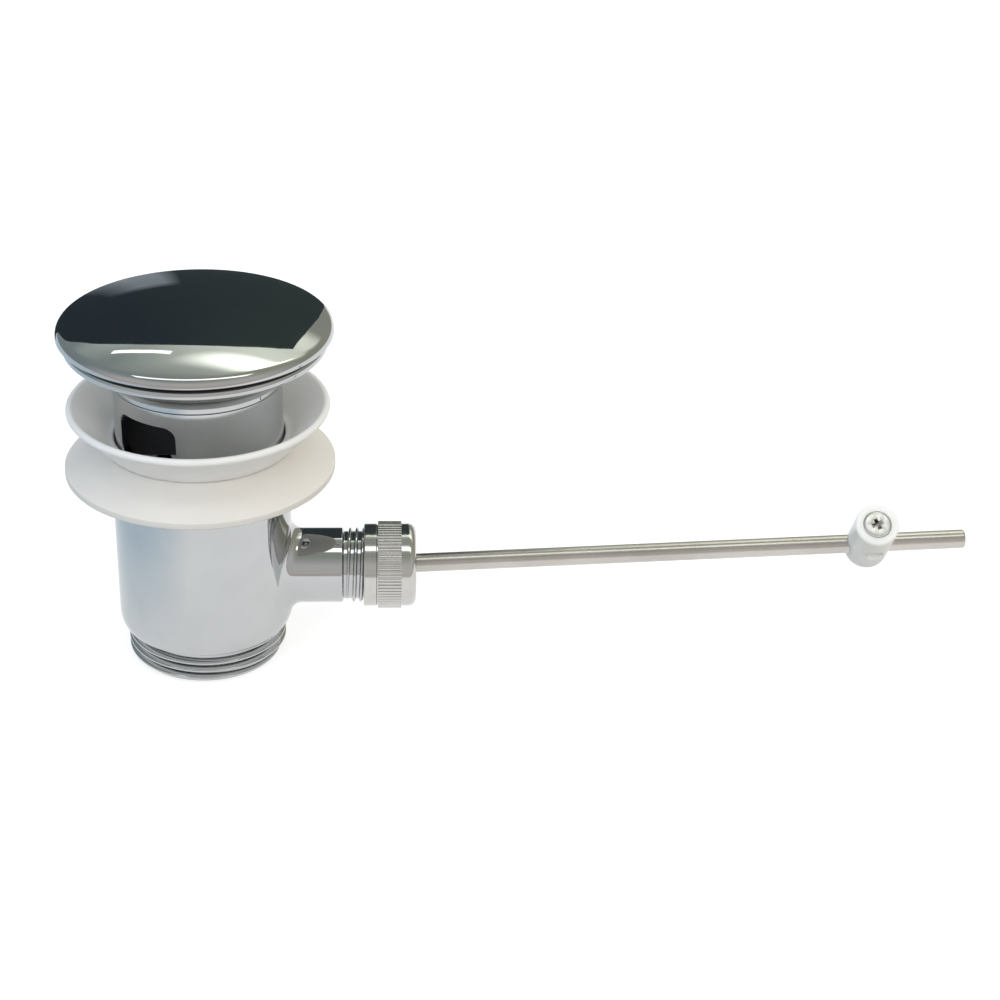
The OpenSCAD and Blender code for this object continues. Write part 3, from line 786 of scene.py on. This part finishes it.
def tube_shell(s):
    """Overflow tube with two windows whose edges are broken all round."""
    across = [-1, -0.95, -0.9, -0.85, -0.8, -0.75, -0.66, -0.5, -0.33, -0.16, 0,
              0.16, 0.33, 0.5, 0.66, 0.75, 0.8, 0.85, 0.9, 0.95, 1]
    columns = len(across) - 1
    top = s.seam - s.window_drop
    middle = top - s.window_height / 2
    low, high = middle - s.window_height / 2 - 2.6, top + 1.3
    edge = square_ring(across, across)
    spigot, step = s.tube_radius - 0.65, s.bore + STEP_OUT
    angles, plain = [], 34
    for centre in (0, math.pi):
        angles += [centre + u * WINDOW_REACH for u in across]
        angles += [centre + WINDOW_REACH + (math.pi - 2 * WINDOW_REACH) * i / plain for i in range(1, plain)]
    count = len(angles) // 2
    rows = [middle + v * (high - middle if v > 0 else middle - low) for v in across]
    bottom, groove, inner_high = s.barrel_top - SOCKET, s.tube_radius - 0.5, high - 1.1
    outside = open_path([
        (s.bore, bottom, 0.2), (spigot, bottom, 0.5), (spigot, s.barrel_top, 0),
        (s.tube_radius, s.barrel_top, 0.1), (s.tube_radius, low)])[:-1]
    above = open_path([
        (s.tube_radius, high), (s.tube_radius, s.seam - 0.16, 0.06), (groove, s.seam - 0.13, 0.05),
        (groove, s.seam, 0), (step, s.seam, 0), (step, s.seam - STEP_DOWN, 0),
        (s.bore, s.seam - STEP_DOWN, 0), (s.bore, inner_high)])[1:-1]
    path = outside + [(s.tube_radius, z) for z in rows] + above
    first_out, first_in = len(outside), len(path)
    inner_rows = [min(z, inner_high) if v == 1 else z for v, z in zip(across, rows)]
    path += [(s.bore, z) for z in reversed(inner_rows)]

    def open_cell(j, i):
        window = i % count < columns
        return window and (first_out <= j < first_out + columns or first_in <= j < first_in + columns)

    shell = Shell().turn(path, angles, closed=True, skip=open_cell)

    def rim(grow):
        w, h = s.window_width / 2 + grow, s.window_height / 2 + grow
        r = s.window_corner + grow
        points = []
        for u, v in edge:
            x, z = u * w, v * h
            if abs(x) > w - r and abs(z) > h - r:
                corner = Vector((math.copysign(w - r, x), math.copysign(h - r, z)))
                x, z = corner + (Vector((x, z)) - corner).normalized() * r
            points.append((x, middle + z))
        return points

    broken = 0.3
    for centre in (0, math.pi):
        def spot(t, z):
            return polar(radius, t, z)

        for radius, face_rows in ((s.tube_radius, rows), (s.bore, inner_rows)):
            hole = [(centre + math.asin(x / radius), z) for x, z in rim(broken)]
            levels = dict(zip(across, face_rows))
            outer = [(centre + u * WINDOW_REACH, levels[v]) for u, v in edge]
            shell.grid(between(hole, outer, 9, spot), True)
        wall = []
        for face, way, order in ((s.tube_radius, -1, range(5)), (s.bore, 1, range(4, -1, -1))):
            for k in order:
                a = math.radians(22.5 * k)
                radius = face + way * broken * (1 - math.cos(a))
                wall.append([spot(centre + math.asin(x / radius), z)
                             for x, z in rim(broken * (1 - math.sin(a)))])
        shell.grid(wall, True)
    spin = Matrix.Rotation(WINDOW_TURN, 4, "Z")
    shell.points = [tuple(spin @ Vector(p)) for p in shell.points]
    return shell


class WASTE_OT_tube(bpy.types.Operator):
    """Overflow tube with its two windows"""
    bl_idname = "waste.tube"
    bl_label = "Overflow tube"

    def execute(self, context):
        mesh = tube_shell(sizes()).mesh("tube", finish("chrome_plate"))
        piece("tube", mesh, "waste", "chrome_plate", "overflow_tube")
        return {"FINISHED"}


class WASTE_OT_flange(bpy.types.Operator):
    """Basin flange: neck, dish and rounded lip"""
    bl_idname = "waste.flange"
    bl_label = "Basin flange"

    def execute(self, context):
        s = sizes()
        slope, neck, half = 31.0, 3.0, s.flange_lip / 2
        lip = s.flange_radius - half
        lip_low = s.flange_top - s.flange_lip
        dish, throat, deep = s.flange_radius - 2.6, s.bore + 3.4, 5
        dish_low, step = s.flange_top - deep, s.bore + STEP_OUT
        fall = math.degrees(math.atan2(deep, dish - throat))
        neck_z = (lip_low - (lip - s.tube_radius - neck) * math.tan(math.radians(slope))
                  - neck / math.cos(math.radians(slope)))
        path = [(s.bore, s.seam - STEP_DOWN), (step, s.seam - STEP_DOWN), (step, s.seam),
                (s.tube_radius - 0.4, s.seam), (s.tube_radius - 0.08, s.seam),
                (s.tube_radius - 0.02, s.seam + 0.03), (s.tube_radius, s.seam + 0.09)]
        path += arc((s.tube_radius + neck, neck_z), neck, 180, 90 + slope, 12)
        path += arc((lip, s.flange_top - half), half, -90, 90, 22)
        path += arc((dish + 0.6, s.flange_top - 0.6), 0.6, 90, 90 + fall, 6)
        path += softened([
            (dish, s.flange_top - 0.4), (throat, dish_low, 0.8), (s.bore + 0.2, dish_low - 1.2, 1.0),
            (s.bore, dish_low - 4)], closed=False)[1:]
        lathe("flange", "waste", "chrome_plate", "basin_flange", held(path), 180)
        return {"FINISHED"}


class WASTE_OT_seals(bpy.types.Operator):
    """Cup seal and tapered washer, both moulded white"""
    bl_idname = "waste.seals"
    bl_label = "White seals"

    def execute(self, context):
        s = sizes()
        inner = s.tube_radius + 0.4
        land = inner + 2.6
        low, high, rim = spans(CUP)
        wall = 1.9
        cup = [(inner + 0.15, low), (land - 0.4, low), (land, low + 0.4)]
        cup += arc((rim - wall / 2, high - wall / 2), wall / 2, -35, 145, 16)
        cup += softened([
            (rim - 2, high - 1), (land - 0.4, low + wall + 0.9, 0.8), (land - 1.2, low + wall + 0.3, 0.8),
            (inner + 0.3, low + wall + 0.3, 0.0)], closed=False)[1:]
        cup += [(inner, low + wall), (inner, low + 0.15)]
        lathe("cup_seal", "seal", "white_seal", "flange_seal", held(cup), 180)
        low, high, rim = spans(WASHER)
        washer = held(softened([
            (inner, low, 0.2), (rim, low, 0.35), (rim, low + 1.8, 0.28), (land + 0.3, high - 0.1, 0.6),
            (land, high, 0.3), (inner, high, 0.25)]))
        lathe("tapered_washer", "waste", "white_seal", "lower_washer", washer, 180, look="white_washer")
        return {"FINISHED"}


class WASTE_OT_ball_joint(bpy.types.Operator):
    """Ball, its two seats and the ring between them"""
    bl_idname = "waste.ball_joint"
    bl_label = "Ball joint"

    def execute(self, context):
        s = sizes()
        spun = along_branch(s)
        hollow, fit = s.ball + 0.06, s.pocket - 0.06
        hole, near = rod_hole(s, INNER_SEAT, 0.35), 0.95
        start, end = math.asin(near / hollow), math.asin(math.sqrt(hollow ** 2 - hole ** 2) / hollow)
        for name, stands_for, side, depth in (("inner_seat", "inner_ball_seat", -1, INNER_SEAT - 0.02),
                                              ("outer_seat", "outer_ball_seat", 1, OUTER_SEAT)):
            cup = [(hollow * math.cos(a), side * hollow * math.sin(a))
                   for a in [start + (end - start) * i / 14 for i in range(15)]]
            cup += softened([cup[-1], (hole, side * depth, 0.15), (fit, side * depth, 0.25),
                             (fit, side * near, 0.1), cup[0]], closed=False)[1:-1]
            cup = held([(r, s.ball_place + x) for r, x in cup])
            lathe(name, "waste", "ball_plastic", stands_for, cup, 96, spun)
        ring = arc((s.ball + 0.85, s.ball_place), 0.79, 0, 360, 24)[:-1]
        lathe("ball_ring", "waste", "black_rubber", "ball_o_ring", ring, 96, spun)
        flat = math.degrees(math.acos((s.rod + 0.01) / s.ball))
        ball = held(arc((0, 0), s.ball, -flat, flat, 28))
        lathe("ball", "lever", "ball_plastic", "pivot_ball", ball, 96, along_rod(s))
        return {"FINISHED"}


class WASTE_OT_gland_nut(bpy.types.Operator):
    """Gland nut with its straight knurl"""
    bl_idname = "waste.gland_nut"
    bl_label = "Gland nut"

    def execute(self, context):
        s = sizes()
        metal = finish("satin_nickel")
        inner = s.ball_place + OUTER_SEAT + 0.1
        bore, groove, knurled = s.branch + 0.1, s.nut - 0.25, s.nut_back + 3.8
        ridge = 6.2
        path = held(softened([
            (bore, s.nut_back, 0.3), (s.nut, s.nut_back, 0.45), (s.nut, knurled - 0.4, 0.2),
            (groove, knurled - 0.3, 0.1), (groove, knurled, 0.1),
            (s.nut, knurled + 0.1, 0.1), (s.nut, s.nut_front, 2.0), (s.nut_mouth, s.nut_front, 0.3),
            (s.nut_mouth, inner, 0.2), (s.pocket + 0.3, inner, 0.3), (bore, inner - 1, 0.2)]))
        mesh = Shell().turn(path, 144, place=along_branch(s)).mesh("gland_nut_turned", metal)
        knurl = nodes_modifier(knurl_tree(), {
            "Ridges": 72, "Radius": (s.nut + 0.28) / 1000, "Ridge": 0.0005, "Length": ridge / 1000,
            "Start": ((knurled + ridge / 2) / 1000, 0, s.branch_height / 1000),
            "Rotation": SIDEWAYS, "Finish": metal})
        mesh = evaluated(mesh, metal, knurl)
        piece("gland_nut_turned", mesh, "gland", "satin_nickel", "gland_nut")
        return {"FINISHED"}


class WASTE_OT_lever_rod(bpy.types.Operator):
    """Lever rod with broken ends"""
    bl_idname = "waste.lever_rod"
    bl_label = "Lever rod"

    def execute(self, context):
        s = sizes()
        path = open_path([
            (0, s.rod_inner), (s.rod, s.rod_inner, 0.55), (s.rod, s.rod_outer, 0.62), (0, s.rod_outer)])
        lathe("lever_rod", "lever", "stainless_rod", "ball_rod", path, 64, along_rod(s), closed=False)
        return {"FINISHED"}


def cutter(shell):
    """An object that a Boolean cuts with, which cut() removes afterwards."""
    made = bpy.data.objects.new("cutter", shell.mesh("cutter"))
    bpy.context.scene.collection.objects.link(made)
    return made


def cut(mesh, finish_of, cutters, broken):
    """The mesh with the cutters taken out and the edges of the cuts broken."""
    steps = [("BOOLEAN", {"object": c, "operation": "DIFFERENCE", "solver": "EXACT"}) for c in cutters]
    steps.append(("BEVEL", {"width": broken, "segments": 2, "limit_method": "ANGLE",
                            "angle_limit": math.radians(50), "use_clamp_overlap": True}))
    result = evaluated(mesh, finish_of, *steps)
    for made in cutters:
        bpy.data.objects.remove(made)
    return result


class WASTE_OT_clip(bpy.types.Operator):
    """Rod clip and its cross-head screw"""
    bl_idname = "waste.clip"
    bl_label = "Clip and screw"

    def execute(self, context):
        s = sizes()
        place = clip_place(s)
        path = open_path([
            (0, -s.clip_tail), (s.clip, -s.clip_tail, 2.2), (s.clip, s.clip_head, 0.7), (0, s.clip_head)])
        mesh = Shell().turn(path, 96, closed=False, place=place).mesh("clip_body", finish("clip_nylon"))

        def pin(spin, *line):
            return cutter(Shell().turn([(0, line[0][1]), *line, (0, line[-1][1])], 64, closed=False,
                                       place=place @ spin))

        side = Matrix.Rotation(math.pi / 2, 4, "Y")
        lift = Matrix.Translation((0, 0, s.lift_hole)) @ Matrix.Rotation(math.pi / 2, 4, "X")
        bore, recess, seat = s.screw + 0.1, s.screw_head + 0.15, s.clip_head - 2
        through = ((s.clip_hole, -12), (s.clip_hole, 12))
        stepped = ((bore, s.lift_hole), (bore, seat), (recess, seat), (recess, s.clip_head + 1))
        mesh = cut(mesh, finish("clip_nylon"), [
            pin(side, *through), pin(lift, *through), pin(Matrix.Identity(4), *stepped)], 0.0002)
        piece("clip_body", mesh, "clip", "clip_nylon", "rod_clip")
        tip = s.lift_hole + s.clip_hole + 0.3
        under = s.clip_head - 1.9
        path = open_path([
            (0, tip), (s.screw, tip, 0.5), (s.screw, under, 0.1), (s.screw_head, under, 0.15),
            (s.screw_head, s.clip_head + 0.28, 0.6), (0, s.clip_head + 0.5)])
        mesh = Shell().turn(path, 72, closed=False, place=place).mesh("cross_screw", finish("zinc_screw"))
        slots = []
        half, wide = 1.75, 0.52
        for turned, deep in ((20, 1.5), (110, 1.42)):
            spin = place @ Matrix.Rotation(math.radians(turned), 4, "Z")
            shell = Shell()
            for z, grow in ((s.clip_head - deep, 0.35), (s.clip_head + 1.0, 1.1)):
                shell.points += [tuple(spin @ Vector((x * half * grow, y * wide, z)))
                                 for x, y in ((-1, -1), (1, -1), (1, 1), (-1, 1))]
            shell.faces += [(0, 1, 2, 3), (4, 5, 6, 7), (0, 1, 5, 4), (1, 2, 6, 5), (2, 3, 7, 6),
                            (3, 0, 4, 7)]
            slots.append(cutter(shell))
        mesh = cut(mesh, finish("zinc_screw"), slots, 0.00006)
        piece("cross_screw", mesh, "screw", "zinc_screw", "clip_screw")
        return {"FINISHED"}


class WASTE_OT_plug(bpy.types.Operator):
    """Plug: domed cap, plate, winged stem, seal, height screw and lock nut"""
    bl_idname = "waste.plug"
    bl_label = "Plug"

    def execute(self, context):
        s = sizes()
        self.cap(s)
        self.plate()
        self.stem(s)
        middle, section = self.ring()
        ring = arc(middle, section, 0, 360, 32)[:-1]
        lathe("plug_ring", "plug", "black_rubber", "plug_seal", ring, 144)
        self.foot()
        return {"FINISHED"}

    def ring(self):
        """Middle and radius of the seal ring's section."""
        low, high, out = spans(RING)
        section = (high - low) / 2
        return (out - section, low + section), section

    def plate(self):
        """Plate inside the cap, with a hub on the stem."""
        low, high, edge = spans(PLATE)
        hole, hub = 4.55, 6.5
        path = held(softened([
            (hole, low, 0.2), (edge, low, 0.12), (edge, low + 0.4, 0.12), (edge - 0.8, low + 0.4, 0.1),
            (edge - 0.8, low + 0.9, 0.2), (edge - 3.8, low + 2, 0.4), (hub, low + 2, 0.6), (hub, high, 0.3),
            (hole, high, 0.2)]))
        lathe("cap_plate", "plug", "grey_plastic", "cap_insert", path, 144)

    def cap(self, s):
        """Dome with a pressed edge."""
        edge = (s.cap_radius - s.cap_edge, s.cap_rim + s.cap_side)
        rise = s.cap_top - edge[1]
        crown = (edge[0] ** 2 + rise ** 2 - s.cap_edge ** 2) / (2 * (rise - s.cap_edge))
        centre = (0, s.cap_top - crown)
        rim = math.degrees(math.atan2(edge[1] - centre[1], edge[0]))
        path = arc(centre, crown, 90, rim, 40)
        path[0] = (0, s.cap_top)
        path += arc(edge, s.cap_edge, rim, 0, 16)[1:]
        inner = s.cap_radius - s.cap_wall
        path += softened([path[-1], (s.cap_radius, s.cap_rim, 0.14), (inner, s.cap_rim, 0.14),
                          (inner, edge[1])], closed=False)[1:-1]
        path += arc(edge, s.cap_edge - s.cap_wall, 0, rim, 10)
        under = arc(centre, crown - s.cap_wall, rim, 90, 24)
        path += under[1:-1] + [(0, s.cap_top - s.cap_wall)]
        lathe("cap", "plug", "chrome_plate", "plug_cap", path, 192, closed=False)

    def stem(self, s):
        """Stem with four guide wings and the seat of the seal."""
        low, high = spans(STEM)[:2]
        middle, section = self.ring()
        groove = middle[0] - section - 0.02
        head, tail, plate = middle[1] + section + 0.05, middle[1] - section - 0.05, spans(PLATE)[0]
        out, core = groove + section + 0.9, 4.5
        path = open_path([
            (0, low), (core, low, 0.3), (core, tail - 2, 0.8), (groove - 2, tail - 0.8, 0.4),
            (groove + 0.5, tail - 0.8, 0.2), (groove + 0.5, tail, 0.1), (groove, tail, 0.1),
            (groove, head, 0.1), (out, head, 0.2), (out, plate, 0.2), (core, plate, 0.1), (core, high, 0.3),
            (0, high)])
        shell = Shell().turn(path, 120, closed=False)
        start, reach, half, drop = 2, s.bore - 0.4, 1.2, 30
        top, foot = tail - 1.5, tail - drop
        wing = softened([(start, foot), (reach, foot, 3.0), (reach, top, 0.4), (start, top)], step=10)
        for quarter in range(4):
            spin = Matrix.Rotation(quarter * math.pi / 2, 4, "Z")
            rows = []
            for y, inset in ((-half, 0.35), (-half + 0.1, 0.1), (-half + 0.35, 0), (half - 0.35, 0),
                             (half - 0.1, 0.1), (half, 0.35)):
                rows.append([spin @ Vector((start + (x - start) * (1 - inset / reach), y,
                                            top + (z - top) * (1 - inset / drop))) for x, z in wing])
            first, count = len(shell.points), len(wing)
            shell.grid(rows, True)
            for end in (first, first + 5 * count):
                shell.faces.append(tuple(range(end, end + count)))
        piece("stem", shell.mesh("stem", finish("grey_plastic")), "plug", "grey_plastic", "plug_stem")

    def foot(self):
        """Height screw with its rounded foot and thread, and the lock nut."""
        metal = finish("zinc_screw")
        low, high, foot = spans(SCREW)
        root = 2.55
        path = arc((0, low + 2 * foot), 2 * foot, -90, -62, 8)
        path[0] = (0, low)
        path += [(foot, low + 2 * foot - math.sqrt(3) * foot + 0.2)]
        path += softened([(foot, low + 2), (foot, low + 4, 0.5), (root, low + 4, 0.2), (root, high, 0.5),
                          (0, high)], closed=False)[1:]
        mesh = Shell().turn(held(path, False), 72, closed=False).mesh("foot_screw", metal)
        ribs = thread(metal, root + 0.01, 1.0, 0.43, turns=18.0, crest=0.18, rounding=0.1,
                      start=(0, 0, low + 4.8))
        mesh = evaluated(mesh, metal, ribs)
        piece("foot_screw", mesh, "plug", "zinc_screw", "height_screw")
        across, hole = 5.0 / math.cos(math.pi / 6), 3.05
        top = spans(STEM)[0] - 0.05
        under = top - 3.2
        hexagon = [math.tau * i / 6 for i in range(6)]
        ring = Shell().turn([(hole, under), (across, under), (across, top), (hole, top)], hexagon)
        mesh = evaluated(ring.mesh("lock_ring", metal, 20), metal,
                         ("BEVEL", {"width": 0.0003, "segments": 2, "limit_method": "ANGLE",
                                    "angle_limit": math.radians(40)}), flat=25)
        piece("lock_ring", mesh, "plug", "zinc_screw", "lock_nut")


# Camera, in metres and degrees
CAMERA_PLACE = (0.0442, -0.483, 0.3097)
CAMERA_TURN = (61.219, -1.722, -3.05)


class WASTE_OT_stage(bpy.types.Operator):
    """Camera, floor, softbox, dark card and room light"""
    bl_idname = "waste.stage"
    bl_label = "Stage"

    def execute(self, context):
        scene = context.scene
        stage = scene.waste_stage
        scene.view_settings.view_transform = "Standard"
        lens = bpy.data.cameras.new("camera")
        lens.lens, lens.sensor_width = stage.lens, 36
        camera = bpy.data.objects.new("camera", lens)
        camera.location = CAMERA_PLACE
        camera.rotation_euler = [math.radians(a) for a in CAMERA_TURN]
        scene.collection.objects.link(camera)
        scene.camera = camera
        self.floor(stage)
        self.card()
        self.lamps(stage)
        self.room(stage)
        return {"FINISHED"}

    def sheet(self, name, corners, made):
        """A flat stage object."""
        mesh = bpy.data.meshes.new(name)
        mesh.from_pydata(corners, [], [tuple(range(len(corners)))])
        mesh.materials.append(made)
        sheet = bpy.data.objects.new(name, mesh)
        bpy.context.scene.collection.objects.link(sheet)
        return sheet

    def floor(self, stage):
        """White floor that keeps the shadow and still looks white, clear when seen from below; in what
        polished metal mirrors it carries painted shade on its left and ahead.
        """
        made, tree, shader = finish_base("floor_white", tuple(stage.floor), 0.9)
        shader.inputs["Specular IOR Level"].default_value = 0.0
        path = node(tree, "ShaderNodeLightPath").outputs
        mirrored = path["Is Glossy Ray"]
        seen = calc(tree, "MAXIMUM", calc(tree, "MAXIMUM", path["Is Camera Ray"], mirrored),
                    path["Is Transmission Ray"])
        spot = node(tree, "ShaderNodeTexCoord").outputs["Object"]
        place = node(tree, "ShaderNodeSeparateXYZ", {0: spot}).outputs
        # Painted reflection: for glossy rays only, the floor is tinted a little darker all over, darker and
        # bluer to the left and darker and warmer ahead. This stands in for shade that polished metal mirrors,
        # while the camera still sees the floor white.
        left, ahead = ramp(tree, place["X"], -0.02, -0.09), ramp(tree, place["Y"], -0.2, -0.32)
        tone = (1, 1, 1, 1)
        for mask, colour in ((1.0, (0.9, 0.9, 0.9, 1)), (left, (0.54, 0.64, 0.72, 1)),
                             (ahead, (0.5, 0.42, 0.38, 1))):
            tone = blend(tree, calc(tree, "MULTIPLY", mask, mirrored), tone, colour)
        half = blend(tree, 1.0, tone, (0.45, 0.45, 0.45, 1), "MULTIPLY")
        paper = node(tree, "ShaderNodeBsdfDiffuse", {"Color": half})
        glow = node(tree, "ShaderNodeEmission", {"Color": tone, "Strength": 0.685})
        white = node(tree, "ShaderNodeAddShader", {0: paper.outputs[0], 1: glow.outputs[0]})
        above = layered(tree, seen, shader.outputs[0], white.outputs[0])
        under = node(tree, "ShaderNodeNewGeometry").outputs["Backfacing"]
        clear = node(tree, "ShaderNodeBsdfTransparent").outputs[0]
        tree.links.new(layered(tree, under, above, clear), tree.nodes["Material Output"].inputs["Surface"])
        size = 6.0
        self.sheet("floor", [(-size, -size, 0), (size, -size, 0), (size, size, 0), (-size, size, 0)], made)

    def card(self):
        """Dark card behind, with a pale patch low on its left, which only polished metal shows."""
        made, tree, shader = finish_base("card_dark", (0.035, 0.045, 0.055), 1.0)
        shader.inputs["Specular IOR Level"].default_value = 0.0
        place = node(tree, "ShaderNodeTexCoord").outputs["Object"]
        parts = node(tree, "ShaderNodeSeparateXYZ", {0: place}).outputs
        dark = blend(tree, ramp(tree, parts["X"], -0.1, 0.1),
                     (0.034, 0.044, 0.056, 1), (0.052, 0.068, 0.064, 1))
        pale = 1.0
        for axis, start, end in (("Z", 0.142, 0.124), ("X", -0.026, -0.036), ("X", -0.078, -0.052)):
            pale = calc(tree, "MULTIPLY", ramp(tree, parts[axis], start, end), pale)
        tree.links.new(blend(tree, pale, dark, (0.28, 0.31, 0.34, 1)), shader.inputs["Base Color"])
        far, eye = 0.2, 0.097
        outline = [
            (-0.9, -0.4), (0.3, -0.4), (0.36, 0.16), (0.43, 0.36), (0.48, 0.54), (0.53, 0.73), (0.582, 0.96),
            (0.63, 1.15), (0.56, 1.27), (0.464, 1.37), (0.37, 1.45), (0.266, 1.52), (0.16, 1.56),
            (0.05, 1.585), (-0.05, 1.59), (-0.156, 1.58), (-0.27, 1.55), (-0.38, 1.5), (-0.47, 1.44),
            (-0.555, 1.36), (-0.64, 1.25), (-0.7, 1.15), (-0.75, 1.04), (-0.78, 0.94), (-0.8, 0.75),
            (-0.82, 0.58), (-0.9, 0.4)]
        card = self.sheet("dark_card", [(x * far, far, eye + z * far) for x, z in outline], made)
        card.visible_camera = card.visible_diffuse = card.visible_shadow = False
        card.visible_transmission = False

    def lamps(self, stage):
        """Softbox above, a cool and a warm fill in front, one behind, and two strips that the dome shows."""
        self.lamp("key", (0.0, -0.52, 1.95), (0.03, 0, 0.05), (2.4, 0.45), stage.lamp)
        for name, place, size, share, colour in (
                ("fill_left", (-0.95, -1.5, 1.0), (0.9, 0.9), 1.35, (0.86, 0.93, 1)),
                ("fill_right", (0.95, -1.5, 1.0), (0.9, 0.9), 1.35, (1, 0.94, 0.86)),
                ("fill_back", (0.1, 1.6, 0.55), (1.6, 0.5), 1.2, (1, 1, 1))):
            fill = self.lamp(name, place, (0, 0, 0.07), size, stage.lamp * share, colour=colour)
            fill.visible_glossy = False
        wide = 0.03
        for x, y, long, turn in ((-0.393, 0.662, 0.21, -32.0), (-0.236, 0.575, 0.155, -26.0)):
            self.lamp("strip", (x, y, 1.0), (x, y, 0), (long, wide), stage.lamp * long * wide, turn)

    def lamp(self, name, place, aim, size, power, turn=0, colour=(1, 1, 1)):
        """A rectangular lamp that faces a point."""
        light = bpy.data.lights.new(name, "AREA")
        light.color = colour
        light.shape, light.size, light.size_y, light.energy = "RECTANGLE", size[0], size[1], power
        lamp = bpy.data.objects.new(name, light)
        lamp.location = place
        facing = (Vector(place) - Vector(aim)).to_track_quat("Z", "Y").to_matrix()
        lamp.rotation_euler = (facing @ Matrix.Rotation(math.radians(turn), 3, "Z")).to_euler()
        bpy.context.scene.collection.objects.link(lamp)
        return lamp

    def patch(self, tree, across, along, middle, reach, level):
        """A soft bright patch on the ceiling."""
        x = calc(tree, "DIVIDE", calc(tree, "SUBTRACT", across, middle[0]), reach[0])
        y = calc(tree, "DIVIDE", calc(tree, "SUBTRACT", along, middle[1]), reach[1])
        square = calc(tree, "ADD", calc(tree, "MULTIPLY", x, x), calc(tree, "MULTIPLY", y, y))
        far = calc(tree, "SQRT", square)
        return ramp(tree, far, 1.0, 0.15, 0.0, level, "SMOOTHSTEP")

    def room(self, stage):
        """Room light: cool on the left, warm on the right, bright low in front, with soft patches above.
        What is matt gets it without the patches, and the camera sees plain white."""
        world = bpy.data.worlds.new("room")
        bpy.context.scene.world = world
        world.use_nodes = True
        tree = world.node_tree
        back = tree.nodes["Background"]
        look = node(tree, "ShaderNodeTexCoord").outputs["Generated"]
        x, y, z = node(tree, "ShaderNodeSeparateXYZ", {0: look}).outputs
        wall = blend(tree, ramp(tree, z, 0.3, 0.8), (0.66, 0.68, 0.62, 1), (0.72, 0.76, 0.66, 1))
        cast = blend(tree, ramp(tree, x, -0.6, 0.6), (0.72, 0.82, 0.95, 1), (1.0, 0.96, 0.86, 1))
        sided = blend(tree, 1.0, wall, cast, "MULTIPLY")
        front = calc(tree, "MULTIPLY", ramp(tree, y, 0.15, -0.55), ramp(tree, z, 0.8, 0.45))
        bright = blend(tree, front, sided, (1.1, 1.08, 1.05, 1))
        up = calc(tree, "MAXIMUM", z, 0.05)
        across, along = calc(tree, "DIVIDE", x, up), calc(tree, "DIVIDE", y, up)
        glow = 0.0
        for middle, reach, level in (((0.33, 0.54), (0.55, 0.14), 4.6), ((0.5, 0.6), (1.1, 0.36), 1.2),
                                     ((0.2, 1.15), (1.2, 0.6), 1.5)):
            glow = calc(tree, "ADD", self.patch(tree, across, along, middle, reach, level), glow)
        warm = blend(tree, 1.0, glow, (0.97, 1.0, 0.88, 1), "MULTIPLY")
        lit = blend(tree, 1.0, bright, warm, "ADD")
        plain = blend(tree, 1.0, cast, ramp(tree, z, 0.0, 0.8, 1.1, 0.95), "MULTIPLY")
        path = node(tree, "ShaderNodeLightPath").outputs
        shown = calc(tree, "SUBTRACT", 1.0, path["Is Diffuse Ray"])
        tree.links.new(blend(tree, shown, plain, lit), back.inputs["Color"])
        tree.links.new(ramp(tree, shown, 0.0, 1.0, stage.sky * 1.5, stage.sky), back.inputs["Strength"])
        white = node(tree, "ShaderNodeBackground", {"Color": (1, 1, 1, 1), "Strength": 1.0})
        seen = calc(tree, "MAXIMUM", path["Is Camera Ray"], path["Is Transmission Ray"])
        both = layered(tree, seen, back.outputs[0], white.outputs[0])
        tree.links.new(both, tree.nodes["World Output"].inputs["Surface"])


class WASTE_PT_panel(bpy.types.Panel):
    """Lists the steps that build the waste"""
    bl_idname = "WASTE_PT_panel"
    bl_label = "Pop-up waste"
    bl_space_type = "VIEW_3D"
    bl_region_type = "UI"
    bl_category = "Waste"

    def draw(self, context):
        for step in STEPS:
            self.layout.operator(step.bl_idname)
        for key in WasteFinish.__annotations__:
            self.layout.prop(context.scene.waste_finish, key)


STEPS = (WASTE_OT_body, WASTE_OT_tube, WASTE_OT_flange, WASTE_OT_seals, WASTE_OT_ball_joint,
         WASTE_OT_gland_nut, WASTE_OT_lever_rod, WASTE_OT_clip, WASTE_OT_plug, WASTE_OT_stage)
GROUPS = (("waste_sizes", WasteSizes), ("waste_finish", WasteFinish), ("waste_stage", WasteStage))


def register():
    """Registers the groups, the steps and the panel."""
    for name, group in GROUPS:
        bpy.utils.register_class(group)
        setattr(bpy.types.Scene, name, PointerProperty(type=group))
    for step in STEPS + (WASTE_PT_panel,):
        bpy.utils.register_class(step)


def unregister():
    """Takes them out again."""
    for step in reversed(STEPS + (WASTE_PT_panel,)):
        bpy.utils.unregister_class(step)
    for name, group in reversed(GROUPS):
        delattr(bpy.types.Scene, name)
        bpy.utils.unregister_class(group)


def main():
    """Builds every piece and the stage."""
    register()
    for step in STEPS:
        family, name = step.bl_idname.split(".")
        getattr(getattr(bpy.ops, family), name)()


if __name__ == "__main__":
    main()
